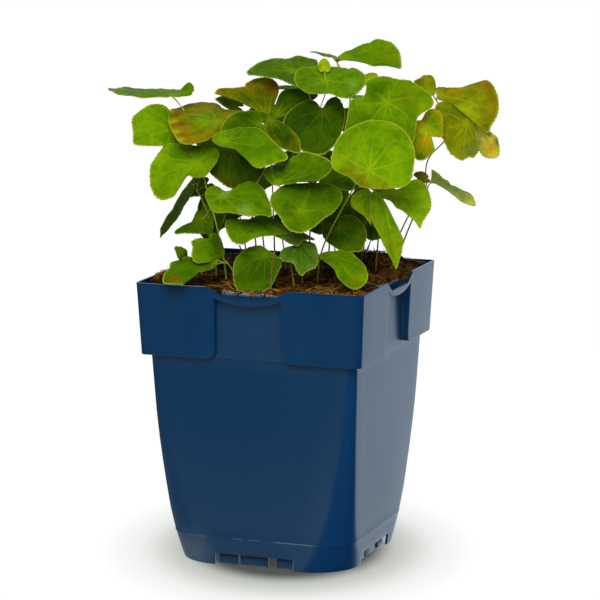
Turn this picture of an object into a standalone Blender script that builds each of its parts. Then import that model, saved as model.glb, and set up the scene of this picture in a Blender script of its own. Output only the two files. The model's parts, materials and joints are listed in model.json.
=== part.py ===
"""Potted barrenwort: a leafy perennial in a square plastic nursery pot, at its real size.

Metres, +Z up. The origin is under the middle of the whole plant's width and depth, on the surface that the pot stands
on. Everything is modelled about the pot's own axis and moved by POT_AXIS at the end. The pot's sides face along X
and Y. The plant is laid out in millimetres in a frame of its own, turned by PLANT_TURN about +Z: right, away from
the front, and up above the pot's rim.
"""

import math
from collections import namedtuple

import bmesh
import bpy
from mathutils import Matrix, Vector, noise
from mathutils.geometry import interpolate_bezier

MM = 0.001
CLEAR = 0.0003
POT_AXIS = (-0.011, -0.006, 0)

# Pot
POT_HEIGHT = 0.1685
RIM_HALF = 0.070
COLLAR_HEIGHT = 0.0425
COLLAR_FOOT_HALF = 0.0679
COLLAR_CORNER = 0.004
WALL = 0.0015
FLOOR_UNDER = 0.007
FLOOR_TOP = 0.0095
SKIRT = 0.0028
ARC_STEPS = 4
# Height, half width and corner radius of the tapering body, from the foot to the underside of the collar.
BODY_SECTIONS = (
    (0.000, 0.0548, 0.0272),
    (0.007, 0.0557, 0.0240),
    (0.017, 0.0568, 0.0195),
    (0.034, 0.0583, 0.0143),
    (0.080, 0.0615, 0.0076),
    (POT_HEIGHT - COLLAR_HEIGHT, 0.0637, 0.0050),
)
PANEL_HALF = 0.0205
PANEL_FACE = 0.0644
PANEL_FLANK_RADIUS = 0.005
LIP_FOOT_SIDE = 0.0065
LIP_FOOT_MIDDLE = 0.0100
SCOOP_DEPTH = 0.006
SCOOP_FLAT_HALF = 0.012
SCOOP_HALF = 0.026
LEDGE_HALF = 0.018
LEDGE_DROP = 0.0022
LEDGE_HEIGHT = 0.009
LEDGE_THICK = 0.0012
# Reach of the opening in the skirt to the left and to the right of a side's middle.
FOOT_GAP = (0.0262, 0.0230)
RIB_FACE = 0.0525
RIB_FOOT = 0.0005
RIB_THICK = 0.0015
RIB_SPANS = ((-0.0245, -0.0125), (-0.0113, 0.0062), (0.0115, 0.0215))
DRAIN_RADIUS = 0.0045
DRAIN_RING = 0.036

# Growing medium
SOIL_FOOT = FLOOR_TOP + CLEAR
SOIL_LEVEL = POT_HEIGHT - 0.004
SOIL_GRID = 17
SOIL_ROUGH = 0.0013
# Mounds in the medium: right, away, spread and height in the plant's millimetres.
SOIL_MOUNDS = (
    (-72, -20, 16, 7.0),
    (48, 44, 30, 8.5),
    (-20, 50, 26, 5.0),
    (10, -62, 22, 1.5),
    (60, 5, 22, 2.5),
)

# Plant
PLANT_TURN = math.radians(20)
BLADE_THICK = 0.0007
# Longest blade that gets so many points round its margin; the smallest have none inside it.
SMALL_BLADE = (16 * MM, 8)
MIDDLE_BLADE = (29 * MM, 12)
LARGE_BLADE = (99 * MM, 16)
STEM_RADIUS = 0.95 * MM
STALK_RADIUS = 0.60 * MM
ROOT_DEPTH = 0.012
HOLE_CLEAR = 0.0005
STALK_SUNK = 0.0012
# Outline of a heart-shaped blade, from the tip round to the notch: angle at the stalk in degrees, and reach as a
# share of the blade's length.
OUTLINE = ((0, 1.00), (9, 0.94), (26, 0.85), (46, 0.71), (70, 0.60), (97, 0.53), (126, 0.47), (154, 0.36), (180, 0.06))
OUTLINE_WIDTH = 1.10

# joint, tip: where the stalk meets the blade, and the blade's tip. lean, side: how far the upper face leans from
# straight up towards the front and towards the right, in degrees. bow: rise of the midrib's middle over its ends.
# cup: rise of the side margins. wave, turns, phase: ripple of the margin. lobes: length of the two lobes beside the
# stalk. skew: how much further the blade reaches on its left than on its right. taper: how far the width gathers
# towards the tip. springs: where its stalk leaves the stem, if not at the fork.
Leaflet = namedtuple(
    "Leaflet",
    "joint tip width lean side bow cup wave turns phase lobes skew taper springs",
    defaults=(0, 2.0, 0.0, 0.8, 3, 0, 1, 0, 0, None),
)


# Each leafy stem: its way from the medium to its fork, and the leaflets that spring from the fork.
LEAFY_STEMS = {
    "leafy_stem_01": (
        ((-37, -12, -4), (-39, -14, 13), (-44, -16, 37), (-50, -17, 60), (-53, -13, 78)),
        (
            Leaflet((-69, 5, 105), (-106, 0, 109), 26, lean=4, bow=-1.5, wave=0),
            Leaflet((-68, -8, 87), (-92, -15, 91), 27, lean=55, side=-5, lobes=0.8),
            Leaflet((-42, -12, 91), (-65, -34, 81), 34, lean=42, side=-12, cup=-2.0, lobes=1.3, skew=-0.35),
            Leaflet((-53, -30, 68), (-72, -48, 50), 38, lean=60, side=-20, skew=-0.1),
        ),
    ),
    "leafy_stem_02": (
        ((-43, -1, -4), (-44, -3, 15), (-48, -6, 36), (-54, -8, 50)),
        (
            Leaflet((-56, -25, 56), (-76, -30, 24), 22, lean=-30, side=-52, bow=1.0, cup=-1.0, lobes=0.35),
            Leaflet((-49, -1, 52), (-58, -4, 45), 12, lean=60, side=-20),
            Leaflet((-52, -8, 32), (-67, -14, 25), 20, lean=45, side=-10, lobes=0.7, springs=(-48, -6, 36)),
            Leaflet((-45, 4, 40), (-47, 1, 16), 18, lean=80, side=-25, springs=(-48, -6, 36)),
        ),
    ),
    "leafy_stem_03": (
        ((-30, -26, -4), (-33, -27, 5), (-36, -28, 10)),
        (
            Leaflet((-39, -25, 14), (-55, -37, 23), 20, lean=50, side=-10, wave=1.2),
            Leaflet((-43, -37, 11), (-72, -56, 4), 22, lean=38, side=-10, wave=1.2),
            Leaflet((-61, -38, 14), (-66, -42, 21), 8, lean=50),
        ),
    ),
    "leafy_stem_04": (
        ((-22, -28, -4), (-24, -29, 12), (-27, -31, 30), (-29, -34, 42)),
        (
            Leaflet((-38, -45, 51), (-11, -55, 41), 32, lean=30, bow=3.0, cup=-1.5, lobes=0.9),
            Leaflet((-15, -38, 36), (-30, -52, 26), 30, lean=52, cup=2.0),
            Leaflet((-16, -30, 38), (15, -45, 26), 14, lean=20, cup=-2.0, lobes=0.3),
        ),
    ),
    "leafy_stem_05": (
        ((-18, -14, -4), (-20, -14, 25), (-25, -14, 55), (-30, -15, 76)),
        (
            Leaflet((-36, -38, 82), (0, -48, 73), 27, lean=45, bow=2.5, cup=-2.0, lobes=0.5, skew=0.24),
            Leaflet((-33, -20, 75), (-22, -28, 53), 34, lean=62, side=-5),
            Leaflet((-17, -16, 90), (-39, -25, 86), 22, lean=45),
        ),
    ),
    "leafy_stem_06": (
        ((3, -36, -4), (2, -37, 5), (1, -38, 12)),
        (
            Leaflet((-14, -44, 16), (-25, -53, -2), 29, lean=68, side=-10, lobes=0.75),
            Leaflet((7, -42, 23), (8, -56, 6), 22, lean=70, skew=0.15),
        ),
    ),
    "leafy_stem_07": (
        ((8, -22, -4), (8, -23, 18), (8, -26, 38), (7, -31, 50)),
        (
            Leaflet((16, -45, 55), (3, -62, 32), 42, lean=58, bow=3.0, cup=-1.0, lobes=0.9),
            Leaflet((-6, -48, 60), (25, -55, 71), 26, lean=38, bow=-2.0, cup=1.5, wave=1.5, phase=60),
        ),
    ),
    "leafy_stem_08": (
        ((27, -26, -4), (27, -28, 5), (27, -31, 12)),
        (
            Leaflet((27, -42, 15), (39, -60, -1), 26, lean=58, side=10, bow=3.0),
            Leaflet((29, -16, 29), (43, -29, 16), 24, lean=50, lobes=0.6),
        ),
    ),
    "leafy_stem_09": (
        ((52, 2, -4), (53, -5, 18), (54, -16, 38), (56, -25, 50)),
        (
            Leaflet((52, -44, 54), (62, -53, 9), 26, lean=60, side=30, bow=3.0, cup=2.0, lobes=0.8),
            Leaflet((63, -28, 50), (76, -42, 32), 30, lean=62, side=15),
            Leaflet((47, -28, 51), (40, -34, 38), 14, lean=60, side=-10, lobes=0.6),
        ),
    ),
    "leafy_stem_10": (
        ((17, -18, -4), (19, -23, 14), (25, -30, 30), (39, -34, 57), (46, -37, 74)),
        (
            Leaflet((46, -64, 69), (50, -47, 94), 48, lean=55, bow=2.5, cup=-1.0, lobes=0.85),
            Leaflet((57, -40, 105), (50, -39, 76), 48, lean=82, bow=3.0, cup=-2.0, lobes=1.1),
        ),
    ),
    "leafy_stem_11": (
        ((62, 6, -4), (65, 5, 7), (69, 2, 19), (75, -3, 36), (80, -9, 54), (82, -15, 69), (91, -19, 80), (95, -17, 86)),
        (
            Leaflet((81, -28, 90), (76, -38, 71), 20, lean=72),
            Leaflet((104, -20, 90), (101, -31, 70), 26, lean=66, lobes=1.4, skew=-0.25),
            Leaflet((108, -10, 90), (123, -14, 72), 14, lean=60, side=20, lobes=0.3, taper=1.5),
            Leaflet((88, -8, 106), (122, -16, 97), 32, lean=54, side=5, lobes=0.4, skew=-0.1, taper=1.2),
            Leaflet((84, -4, 107), (74, 0, 115), 12, lean=50, side=-10, bow=0.5, wave=0.3),
        ),
    ),
    "leafy_stem_12": (
        ((60, 18, -4), (64, 16, 14), (72, 12, 32), (82, 8, 48)),
        (
            Leaflet((85, 6, 53), (109, 0, 39), 14, lean=32, side=10, bow=1.5),
            Leaflet((82, 6, 55), (74, 2, 57), 8, lean=40, bow=0.5, wave=0.2, lobes=0.5),
        ),
    ),
    "leafy_stem_13": (
        ((12, 4, -4), (13, 2, 30), (15, 1, 62), (17, -3, 92)),
        (
            Leaflet((3, 5, 119), (-24, 8, 121), 30, lean=16, bow=1.5),
            Leaflet((22, -20, 116), (18, 8, 126), 42, lean=20, bow=1.5, lobes=1.1),
            Leaflet((21, -14, 122), (21, -10, 128), 7, lean=60, bow=0.3, springs=(22, -20, 116)),
            Leaflet((20, -12, 97), (18, -26, 73), 44, lean=62, cup=-1.5),
        ),
    ),
    "leafy_stem_14": (
        ((30, 18, -4), (32, 19, 35), (34, 19, 75), (37, 17, 104)),
        (
            Leaflet((30, 18, 125), (67, 6, 121), 28, lean=30, bow=1.0, cup=6.0, lobes=0.4, taper=1.2),
            Leaflet((27, 18, 126), (13, 20, 129), 8, lean=5, bow=0.5, wave=0.2),
            Leaflet((43, 9, 113), (37, 11, 120), 8, lean=50, bow=0.5, wave=0.2),
            Leaflet((47, 5, 113), (52, 7, 117), 8, lean=50, bow=0.5, wave=0.2),
        ),
    ),
    "leafy_stem_15": (
        ((-8, 8, -4), (-9, 7, 30), (-10, 5, 62), (-11, 2, 86)),
        (
            Leaflet((-14, -4, 94), (-43, -2, 107), 20, lean=32, bow=1.5, lobes=0.6),
            Leaflet((-12, 4, 95), (-19, 10, 113), 26, lean=42, bow=1.5),
            Leaflet((-31, 9, 98), (-43, 9, 102), 9, lean=40, bow=0.5),
            Leaflet((-6, 0, 94), (15, 10, 106), 22, lean=58, bow=1.5, lobes=0.5),
            Leaflet((-10, -24, 93), (7, -37, 75), 22, lean=60),
        ),
    ),
    "leafy_stem_16": (
        ((38, 8, -4), (38, 8, 15), (40, 7, 32), (42, 4, 44)),
        (
            Leaflet((37, -10, 59), (17, -17, 53), 22, lean=40, lobes=0.7),
            Leaflet((36, 1, 44), (29, -1, 18), 28, lean=82),
            Leaflet((46, 9, 31), (57, 4, 19), 20, lean=75, side=10, springs=(40, 7, 32)),
        ),
    ),
    "leafy_stem_17": (
        ((-14, 26, -4), (-16, 27, 20), (-19, 29, 42), (-22, 31, 58)),
        (
            Leaflet((-30, 38, 80), (-52, 60, 62), 32, lean=-42, side=-20),
            Leaflet((-16, 42, 55), (-28, 74, 36), 34, lean=-50, side=-10),
            Leaflet((-29, 28, 35), (-46, 46, 16), 26, lean=-45, side=-25, springs=(-18, 28, 34)),
        ),
    ),
    "leafy_stem_18": (
        ((4, 30, -4), (4, 31, 30), (3, 34, 60), (2, 38, 84)),
        (
            Leaflet((-5, 48, 92), (-10, 80, 78), 36, lean=-50, side=-5),
            Leaflet((5, 32, 106), (-4, 60, 102), 30, lean=-12, side=-5),
            Leaflet((12, 50, 62), (14, 86, 42), 40, lean=-52, springs=(3, 34, 58)),
        ),
    ),
    "leafy_stem_19": (
        ((24, 32, -4), (26, 33, 25), (29, 34, 50), (32, 35, 76)),
        (
            Leaflet((28, 46, 88), (40, 78, 72), 34, lean=-48, side=8),
            Leaflet((42, 28, 100), (60, 50, 94), 30, lean=-15, side=15),
            Leaflet((44, 44, 54), (58, 74, 36), 32, lean=-45, side=15, springs=(29, 34, 50)),
        ),
    ),
    "leafy_stem_20": (
        ((44, 24, -4), (46, 24, 15), (50, 24, 36), (54, 24, 54)),
        (
            Leaflet((58, 32, 76), (78, 52, 66), 30, lean=-25, side=35),
            Leaflet((60, 22, 48), (72, 36, 32), 24, lean=-15, side=50),
            Leaflet((46, 42, 26), (54, 66, 12), 24, lean=-45, side=15, springs=(46, 24, 15)),
        ),
    ),
    "leafy_stem_21": (
        ((-2, 22, -4), (-3, 24, 10), (-5, 28, 22)),
        (
            Leaflet((-10, 38, 27), (-17, 62, 12), 24, lean=-45, side=-10, lobes=0.8),
            Leaflet((13, 42, 26), (19, 66, 12), 22, lean=-45, side=5, lobes=0.8),
        ),
    ),
}

# Dead stalks without leaves: the way of each from the medium to its broken end.
DRY_STALKS = {
    "dry_stalk_01": ((-10, -60, -4), (-10, -62, 8), (-8, -64, 22)),
    "dry_stalk_02": ((46, 26, -4), (47, 25, 8), (51, 22, 19)),
    "dry_stalk_03": ((-24, -6, -4), (-26, -8, 8), (-29, -10, 17)),
}


def material(name, colour, roughness):
    made = bpy.data.materials.new(name)
    made.use_nodes = True
    shader = made.node_tree.nodes["Principled BSDF"]
    shader.inputs["Base Color"].default_value = (*colour, 1.0)
    shader.inputs["Roughness"].default_value = roughness
    shader.inputs["Metallic"].default_value = 0.0
    return made


def object_of(bm, name, finish=None):
    bmesh.ops.recalc_face_normals(bm, faces=bm.faces)
    mesh = bpy.data.meshes.new(name)
    bm.to_mesh(mesh)
    bm.free()
    made = bpy.data.objects.new(name, mesh)
    bpy.context.scene.collection.objects.link(made)
    if finish:
        mesh.materials.append(finish)
    return made


def apply_modifiers(obj):
    graph = bpy.context.evaluated_depsgraph_get()
    old = obj.data
    obj.data = bpy.data.meshes.new_from_object(obj.evaluated_get(graph))
    obj.modifiers.clear()
    bpy.data.meshes.remove(old)


def remove(obj):
    data = obj.data
    bpy.data.objects.remove(obj)
    if isinstance(data, bpy.types.Mesh):
        bpy.data.meshes.remove(data)


def combine(target, other, operation):
    boolean = target.modifiers.new(operation.lower(), "BOOLEAN")
    boolean.operation = operation
    boolean.object = other
    apply_modifiers(target)
    remove(other)


def fuse(target, others):
    """Joins the other solids to the target as one body."""
    group = bpy.data.collections.new("fusing")
    bpy.context.scene.collection.children.link(group)
    for other in others:
        bpy.context.scene.collection.objects.unlink(other)
        group.objects.link(other)
    boolean = target.modifiers.new("fuse", "BOOLEAN")
    boolean.operation = "UNION"
    boolean.operand_type = "COLLECTION"
    boolean.collection = group
    apply_modifiers(target)
    for other in others:
        remove(other)
    bpy.data.collections.remove(group)


def rounded_square(half, corner, height):
    """The points of a square with round corners, anticlockwise seen from above."""
    points = []
    inner = half - corner
    for quarter in range(4):
        centre = Matrix.Rotation(quarter * math.pi / 2, 3, "Z") @ Vector((inner, inner, 0))
        for step in range(ARC_STEPS + 1):
            angle = (quarter + step / ARC_STEPS) * math.pi / 2
            points.append(centre + Vector((math.cos(angle) * corner, math.sin(angle) * corner, height)))
    return points


def loft(name, rings, finish=None):
    """A closed solid through rings of as many points each."""
    bm = bmesh.new()
    loops = [[bm.verts.new(point) for point in ring] for ring in rings]
    for lower, upper in zip(loops, loops[1:]):
        for index in range(len(lower)):
            bm.faces.new((lower[index - 1], lower[index], upper[index], upper[index - 1]))
    bm.faces.new(loops[0])
    bm.faces.new(loops[-1])
    return object_of(bm, name, finish)


def extrude_outline(name, outline, depth, turn):
    """A solid from an outline of (across, height), pushed outwards along a side of the pot from y = depth[0] to depth[1]."""
    bm = bmesh.new()
    face = bm.faces.new([bm.verts.new((x, -depth[0], z)) for x, z in outline])
    pushed = bmesh.ops.extrude_face_region(bm, geom=[face])["geom"]
    bmesh.ops.translate(
        bm, verts=[v for v in pushed if isinstance(v, bmesh.types.BMVert)], vec=(0, depth[0] - depth[1], 0)
    )
    bmesh.ops.rotate(bm, verts=bm.verts, cent=(0, 0, 0), matrix=Matrix.Rotation(turn, 3, "Z"))
    return object_of(bm, name)


def box(name, low, high, turn=0.0):
    bm = bmesh.new()
    bmesh.ops.create_cube(bm, size=1.0)
    size = Vector(high) - Vector(low)
    bmesh.ops.scale(bm, verts=bm.verts, vec=size)
    bmesh.ops.translate(bm, verts=bm.verts, vec=Vector(low) + size / 2)
    bmesh.ops.rotate(bm, verts=bm.verts, cent=(0, 0, 0), matrix=Matrix.Rotation(turn, 3, "Z"))
    return object_of(bm, name)


def rod(name, radius, low, high, x, y, sides):
    bm = bmesh.new()
    bmesh.ops.create_cone(bm, cap_ends=True, segments=sides, radius1=radius, radius2=radius, depth=high - low)
    bmesh.ops.translate(bm, verts=bm.verts, vec=(x, y, (low + high) / 2))
    return object_of(bm, name)


def scoop_dip(across):
    """How far the rim dips at a distance across from the middle of a side."""
    share = (abs(across) - SCOOP_FLAT_HALF) / (SCOOP_HALF - SCOOP_FLAT_HALF)
    share = min(1.0, max(0.0, share))
    return SCOOP_DEPTH * (1 - share * share * (3 - 2 * share))


def scoop_outline():
    steps = [SCOOP_HALF * (index / 8 - 1) for index in range(17)]
    outline = [(x, POT_HEIGHT - scoop_dip(x)) for x in steps]
    return outline + [(SCOOP_HALF, POT_HEIGHT + 0.01), (-SCOOP_HALF, POT_HEIGHT + 0.01)]


def panel_outline():
    """The recess in the collar: an arched top under the lip, and flanks that round away at the foot."""
    foot = POT_HEIGHT - COLLAR_HEIGHT
    top = [
        (PANEL_HALF * side / 4, POT_HEIGHT - LIP_FOOT_SIDE - (LIP_FOOT_MIDDLE - LIP_FOOT_SIDE) * (1 - (side / 4) ** 2))
        for side in range(4, -5, -1)
    ]
    flank = []
    for step in range(5):
        angle = step / 4 * math.pi / 2
        flank.append(
            (
                PANEL_HALF + PANEL_FLANK_RADIUS * (1 - math.cos(angle)),
                foot + PANEL_FLANK_RADIUS * (1 - math.sin(angle)),
            )
        )
    left = [(-x, z) for x, z in flank]
    under = foot - 0.001
    return top + left + [(left[-1][0], under), (flank[-1][0], under)] + flank[::-1]


def body_at(height):
    """Half width and corner radius of the body at a height."""
    for (low, half_low, corner_low), (high, half_high, corner_high) in zip(BODY_SECTIONS, BODY_SECTIONS[1:]):
        if height <= high:
            share = (height - low) / (high - low)
            return half_low + share * (half_high - half_low), corner_low + share * (corner_high - corner_low)
    return BODY_SECTIONS[-1][1:]


def cavity(name, gap, floor, top):
    """The room inside the pot's walls, smaller by a gap all round."""
    inset = WALL + gap
    shoulder = POT_HEIGHT - COLLAR_HEIGHT + WALL + gap
    rings = []
    for height in [floor] + [s[0] for s in BODY_SECTIONS[2:-1]] + [shoulder]:
        half, corner = body_at(height)
        rings.append(rounded_square(half - inset, max(0.002, corner - inset), height))
    collar_half = COLLAR_FOOT_HALF - inset
    rim_half = RIM_HALF - inset
    rings.append(rounded_square(collar_half, COLLAR_CORNER - 0.001, shoulder + 0.0015))
    rings.append(rounded_square(rim_half, COLLAR_CORNER - 0.001, top))
    room = loft(name, rings)
    for quarter in range(4):
        behind = box(
            "panel_back",
            (-PANEL_HALF - inset, -RIM_HALF - 0.01, shoulder - 0.004),
            (PANEL_HALF + inset, -PANEL_FACE + inset, top + 0.01),
            quarter * math.pi / 2,
        )
        combine(room, behind, "DIFFERENCE")
    return room


def make_pot(finish):
    foot = POT_HEIGHT - COLLAR_HEIGHT
    pot = loft("pot", [rounded_square(half, corner, height) for height, half, corner in BODY_SECTIONS], finish)
    collar = loft(
        "collar",
        [
            rounded_square(COLLAR_FOOT_HALF, COLLAR_CORNER, foot),
            rounded_square(RIM_HALF, COLLAR_CORNER, POT_HEIGHT),
        ],
    )
    for quarter in range(4):
        turn = quarter * math.pi / 2
        combine(collar, extrude_outline("panel", panel_outline(), (PANEL_FACE, RIM_HALF + 0.01), turn), "DIFFERENCE")
    combine(pot, collar, "UNION")
    combine(pot, cavity("room", 0.0, FLOOR_TOP, POT_HEIGHT + 0.001), "DIFFERENCE")
    for quarter in range(4):
        turn = quarter * math.pi / 2
        combine(pot, extrude_outline("scoop", scoop_outline(), (RIM_HALF - 0.02, RIM_HALF + 0.01), turn), "DIFFERENCE")
    for quarter in range(4):
        turn = quarter * math.pi / 2
        lowest = POT_HEIGHT - LEDGE_HEIGHT
        ledge = box(
            "ledge",
            (-LEDGE_HALF, -PANEL_FACE + WALL - 0.0003, lowest),
            (LEDGE_HALF, -PANEL_FACE + WALL + LEDGE_THICK, POT_HEIGHT - LEDGE_DROP),
            turn,
        )
        combine(pot, ledge, "UNION")
    under = []
    for height in (-0.001, FLOOR_UNDER):
        half, corner = body_at(height)
        under.append(rounded_square(half - SKIRT, corner - SKIRT, height))
    combine(pot, loft("under", under), "DIFFERENCE")
    for quarter in range(4):
        turn = quarter * math.pi / 2
        gap = box("gap", (-FOOT_GAP[0], -0.07, -0.001), (FOOT_GAP[1], -0.045, FLOOR_UNDER), turn)
        combine(pot, gap, "DIFFERENCE")
        for low, high in RIB_SPANS:
            rib = box("rib", (low, -RIB_FACE, RIB_FOOT), (high, -RIB_FACE + RIB_THICK, FLOOR_UNDER + 0.001), turn)
            combine(pot, rib, "UNION")
        x, y = DRAIN_RING * math.cos(turn), DRAIN_RING * math.sin(turn)
        combine(pot, rod("drain", DRAIN_RADIUS, 0, FLOOR_TOP + 0.001, x, y, 12), "DIFFERENCE")
    return pot


def place(right, away, up):
    """A point of the plant's own frame, in the pot's."""
    turned = Matrix.Rotation(PLANT_TURN, 3, "Z") @ Vector((right, away, up))
    return turned * MM + Vector((0, 0, POT_HEIGHT))


def soil_height(x, y):
    plant = Matrix.Rotation(-PLANT_TURN, 3, "Z") @ Vector((x, y, 0)) / MM
    height = SOIL_LEVEL
    for right, away, spread, rise in SOIL_MOUNDS:
        distance = math.hypot(plant.x - right, plant.y - away)
        height += rise * MM * math.exp(-((distance / spread) ** 2))
    edge = max(abs(x), abs(y)) / RIM_HALF
    height -= 0.002 * max(0.0, edge - 0.86) / 0.14
    return height + SOIL_ROUGH * noise.noise(Vector((x, y, 0)) * 110)


def make_soil(finish, holes):
    bm = bmesh.new()
    bmesh.ops.create_grid(bm, x_segments=SOIL_GRID, y_segments=SOIL_GRID, size=RIM_HALF + 0.002)
    for vert in bm.verts:
        vert.co.z = soil_height(vert.co.x, vert.co.y)
    bmesh.ops.triangulate(bm, faces=bm.faces)
    pushed = bmesh.ops.extrude_face_region(bm, geom=list(bm.faces))["geom"]
    for vert in pushed:
        if isinstance(vert, bmesh.types.BMVert):
            vert.co.z = POT_HEIGHT + 0.05
    above = object_of(bm, "above_soil")
    soil = cavity("soil", CLEAR, SOIL_FOOT, POT_HEIGHT + 0.012)
    soil.data.materials.append(finish)
    combine(soil, above, "DIFFERENCE")
    for quarter in range(4):
        turn = quarter * math.pi / 2
        by_ledge = box(
            "by_ledge",
            (-LEDGE_HALF - CLEAR, -RIM_HALF, POT_HEIGHT - LEDGE_HEIGHT - CLEAR),
            (LEDGE_HALF + CLEAR, -PANEL_FACE + WALL + LEDGE_THICK + CLEAR, POT_HEIGHT + 0.02),
            turn,
        )
        combine(soil, by_ledge, "DIFFERENCE")
    for x, y, foot, radius in holes:
        combine(soil, rod("hole", radius, foot, POT_HEIGHT + 0.02, x, y, 6), "DIFFERENCE")
    return soil


def smooth_way(points, steps):
    """A smooth line through the points, as Bezier spans with handles along the neighbours' direction."""
    ends = [points[0] * 2 - points[1]] + list(points) + [points[-1] * 2 - points[-2]]
    line = [points[0]]
    for before, start, stop, after in zip(ends, ends[1:], ends[2:], ends[3:]):
        reach = (stop - start).length / 3
        first = start + (stop - before).normalized() * reach
        second = stop - (after - start).normalized() * reach
        line += interpolate_bezier(start, first, second, stop, steps + 1)[1:]
    return line


def tube(name, line, start_radius, end_radius, roundness):
    curve = bpy.data.curves.new(name, "CURVE")
    curve.dimensions = "3D"
    curve.bevel_depth = 1.0
    curve.bevel_resolution = roundness
    curve.use_fill_caps = True
    spline = curve.splines.new("POLY")
    spline.points.add(len(line) - 1)
    for index, point in enumerate(line):
        spline.points[index].co = (*point, 1)
        spline.points[index].radius = start_radius + (end_radius - start_radius) * index / (len(line) - 1)
    swept = bpy.data.objects.new(name, curve)
    bpy.context.scene.collection.objects.link(swept)
    mesh = bpy.data.meshes.new_from_object(swept.evaluated_get(bpy.context.evaluated_depsgraph_get()))
    bpy.data.objects.remove(swept)
    bpy.data.curves.remove(curve)
    bm = bmesh.new()
    bm.from_mesh(mesh)
    bpy.data.meshes.remove(mesh)
    bmesh.ops.remove_doubles(bm, verts=bm.verts, dist=1e-6)
    return object_of(bm, name)


def blade_axes(leaf):
    """The blade's joint, its three directions and its length: along the midrib, to its left, and up from its face."""
    joint = place(*leaf.joint)
    along = place(*leaf.tip) - joint
    length = along.length
    along.normalize()
    lean, side = math.radians(leaf.lean), math.radians(leaf.side)
    facing = Vector((math.sin(side), -math.sin(lean) * math.cos(side), math.cos(lean) * math.cos(side)))
    facing = Matrix.Rotation(PLANT_TURN, 3, "Z") @ facing
    up = (facing - along * facing.dot(along)).normalized()
    return joint, along, up.cross(along), up, length


def margin(count):
    """The points of the blade's margin all the way round, as (angle, reach)."""
    left = []
    for step in range(count // 2 + 1):
        station = step * 2 / count * (len(OUTLINE) - 1)
        index = min(int(station), len(OUTLINE) - 2)
        start, stop = Vector(OUTLINE[index]), Vector(OUTLINE[index + 1])
        angle, reach = start.lerp(stop, station - index)
        left.append((math.radians(angle), reach))
    return left + [(-angle, reach) for angle, reach in left[-2:0:-1]]


def blade_point(leaf, axes, angle, reach, share):
    """A point of the blade's upper face, at an angle from its tip and a share of the way out to its margin."""
    joint, along, left, up, length = axes
    reach *= length * share
    behind = max(0.0, -math.cos(angle))
    reach *= 1 + (leaf.lobes - 1) * behind
    reach *= 1 + leaf.skew * math.sin(angle)
    x = reach * math.cos(angle)
    part = x / length
    y = reach * math.sin(angle) * leaf.width * MM / (OUTLINE_WIDTH * length)
    y *= 1 + leaf.taper * (part - 0.4)
    rise = leaf.bow * MM * (4 * part * (1 - part) if part > 0 else 1.5 * part)
    rise += leaf.cup * MM * (2 * y / (leaf.width * MM)) ** 2
    rise += leaf.wave * MM * share ** 2 * math.sin(leaf.turns * angle + math.radians(leaf.phase))
    return joint + along * x + left * y + up * rise


def make_blade(name, leaf):
    axes = blade_axes(leaf)
    count = next(rays for longest, rays in (SMALL_BLADE, MIDDLE_BLADE, LARGE_BLADE) if axes[4] < longest)
    points = margin(count)
    bm = bmesh.new()
    bmesh.ops.create_circle(bm, cap_ends=True, cap_tris=True, segments=len(points), radius=1.0)
    if count > SMALL_BLADE[1]:
        spokes = [edge for edge in bm.edges if min(v.co.length for v in edge.verts) < 0.5]
        bmesh.ops.subdivide_edges(bm, edges=spokes, cuts=1)
    bmesh.ops.triangulate(bm, faces=bm.faces)
    for vert in bm.verts:
        ray = round(math.atan2(vert.co.y, vert.co.x) / math.tau * len(points)) % len(points)
        angle, reach = points[ray]
        vert.co = blade_point(leaf, axes, angle, reach, vert.co.length)
    lower = -axes[3] * BLADE_THICK
    pushed = bmesh.ops.extrude_face_region(bm, geom=list(bm.faces))["geom"]
    bmesh.ops.translate(bm, verts=[v for v in pushed if isinstance(v, bmesh.types.BMVert)], vec=lower)
    return object_of(bm, name)


def stalk_way(leaf, springs):
    """The leaflet's stalk: from where it springs, up to the notch of its blade from beneath."""
    joint, along, _, up, _ = blade_axes(leaf)
    start = place(*springs) - Vector((0, 0, STALK_SUNK))
    stop = joint - up * BLADE_THICK * 0.8 + along * 0.0006
    reach = (stop - start).length / 3
    leave = (stop - start).normalized() + Vector((0, 0, 0.5))
    arrive = along * 0.75 + up * 0.5
    return interpolate_bezier(start, start + leave.normalized() * reach, stop - arrive.normalized() * reach, stop, 4)


def root_of(way):
    """Where a stem stands: the straight foot of its way, sunk into the medium."""
    first = place(*way[0])
    return Vector((first.x, first.y, soil_height(first.x, first.y) - ROOT_DEPTH))


def stem_line(way):
    root = root_of(way)
    above = Vector((root.x, root.y, root.z + ROOT_DEPTH + 0.003))
    return [root] + smooth_way([above] + [place(*point) for point in way[1:]], 2)


def make_leafy_stem(name, way, leaflets, finish):
    stem = tube(name, stem_line(way), STEM_RADIUS, STALK_RADIUS * 1.3, 0)
    stem.data.materials.append(finish)
    pieces = []
    for leaf in leaflets:
        pieces.append(tube("stalk", stalk_way(leaf, leaf.springs or way[-1]), STALK_RADIUS, STALK_RADIUS * 0.9, 0))
        pieces.append(make_blade("blade", leaf))
    fuse(stem, pieces)
    return stem


def make_dry_stalk(name, way, finish):
    stalk = tube(name, stem_line(way), STALK_RADIUS * 1.2, STALK_RADIUS, 1)
    stalk.data.materials.append(finish)
    return stalk


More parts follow.
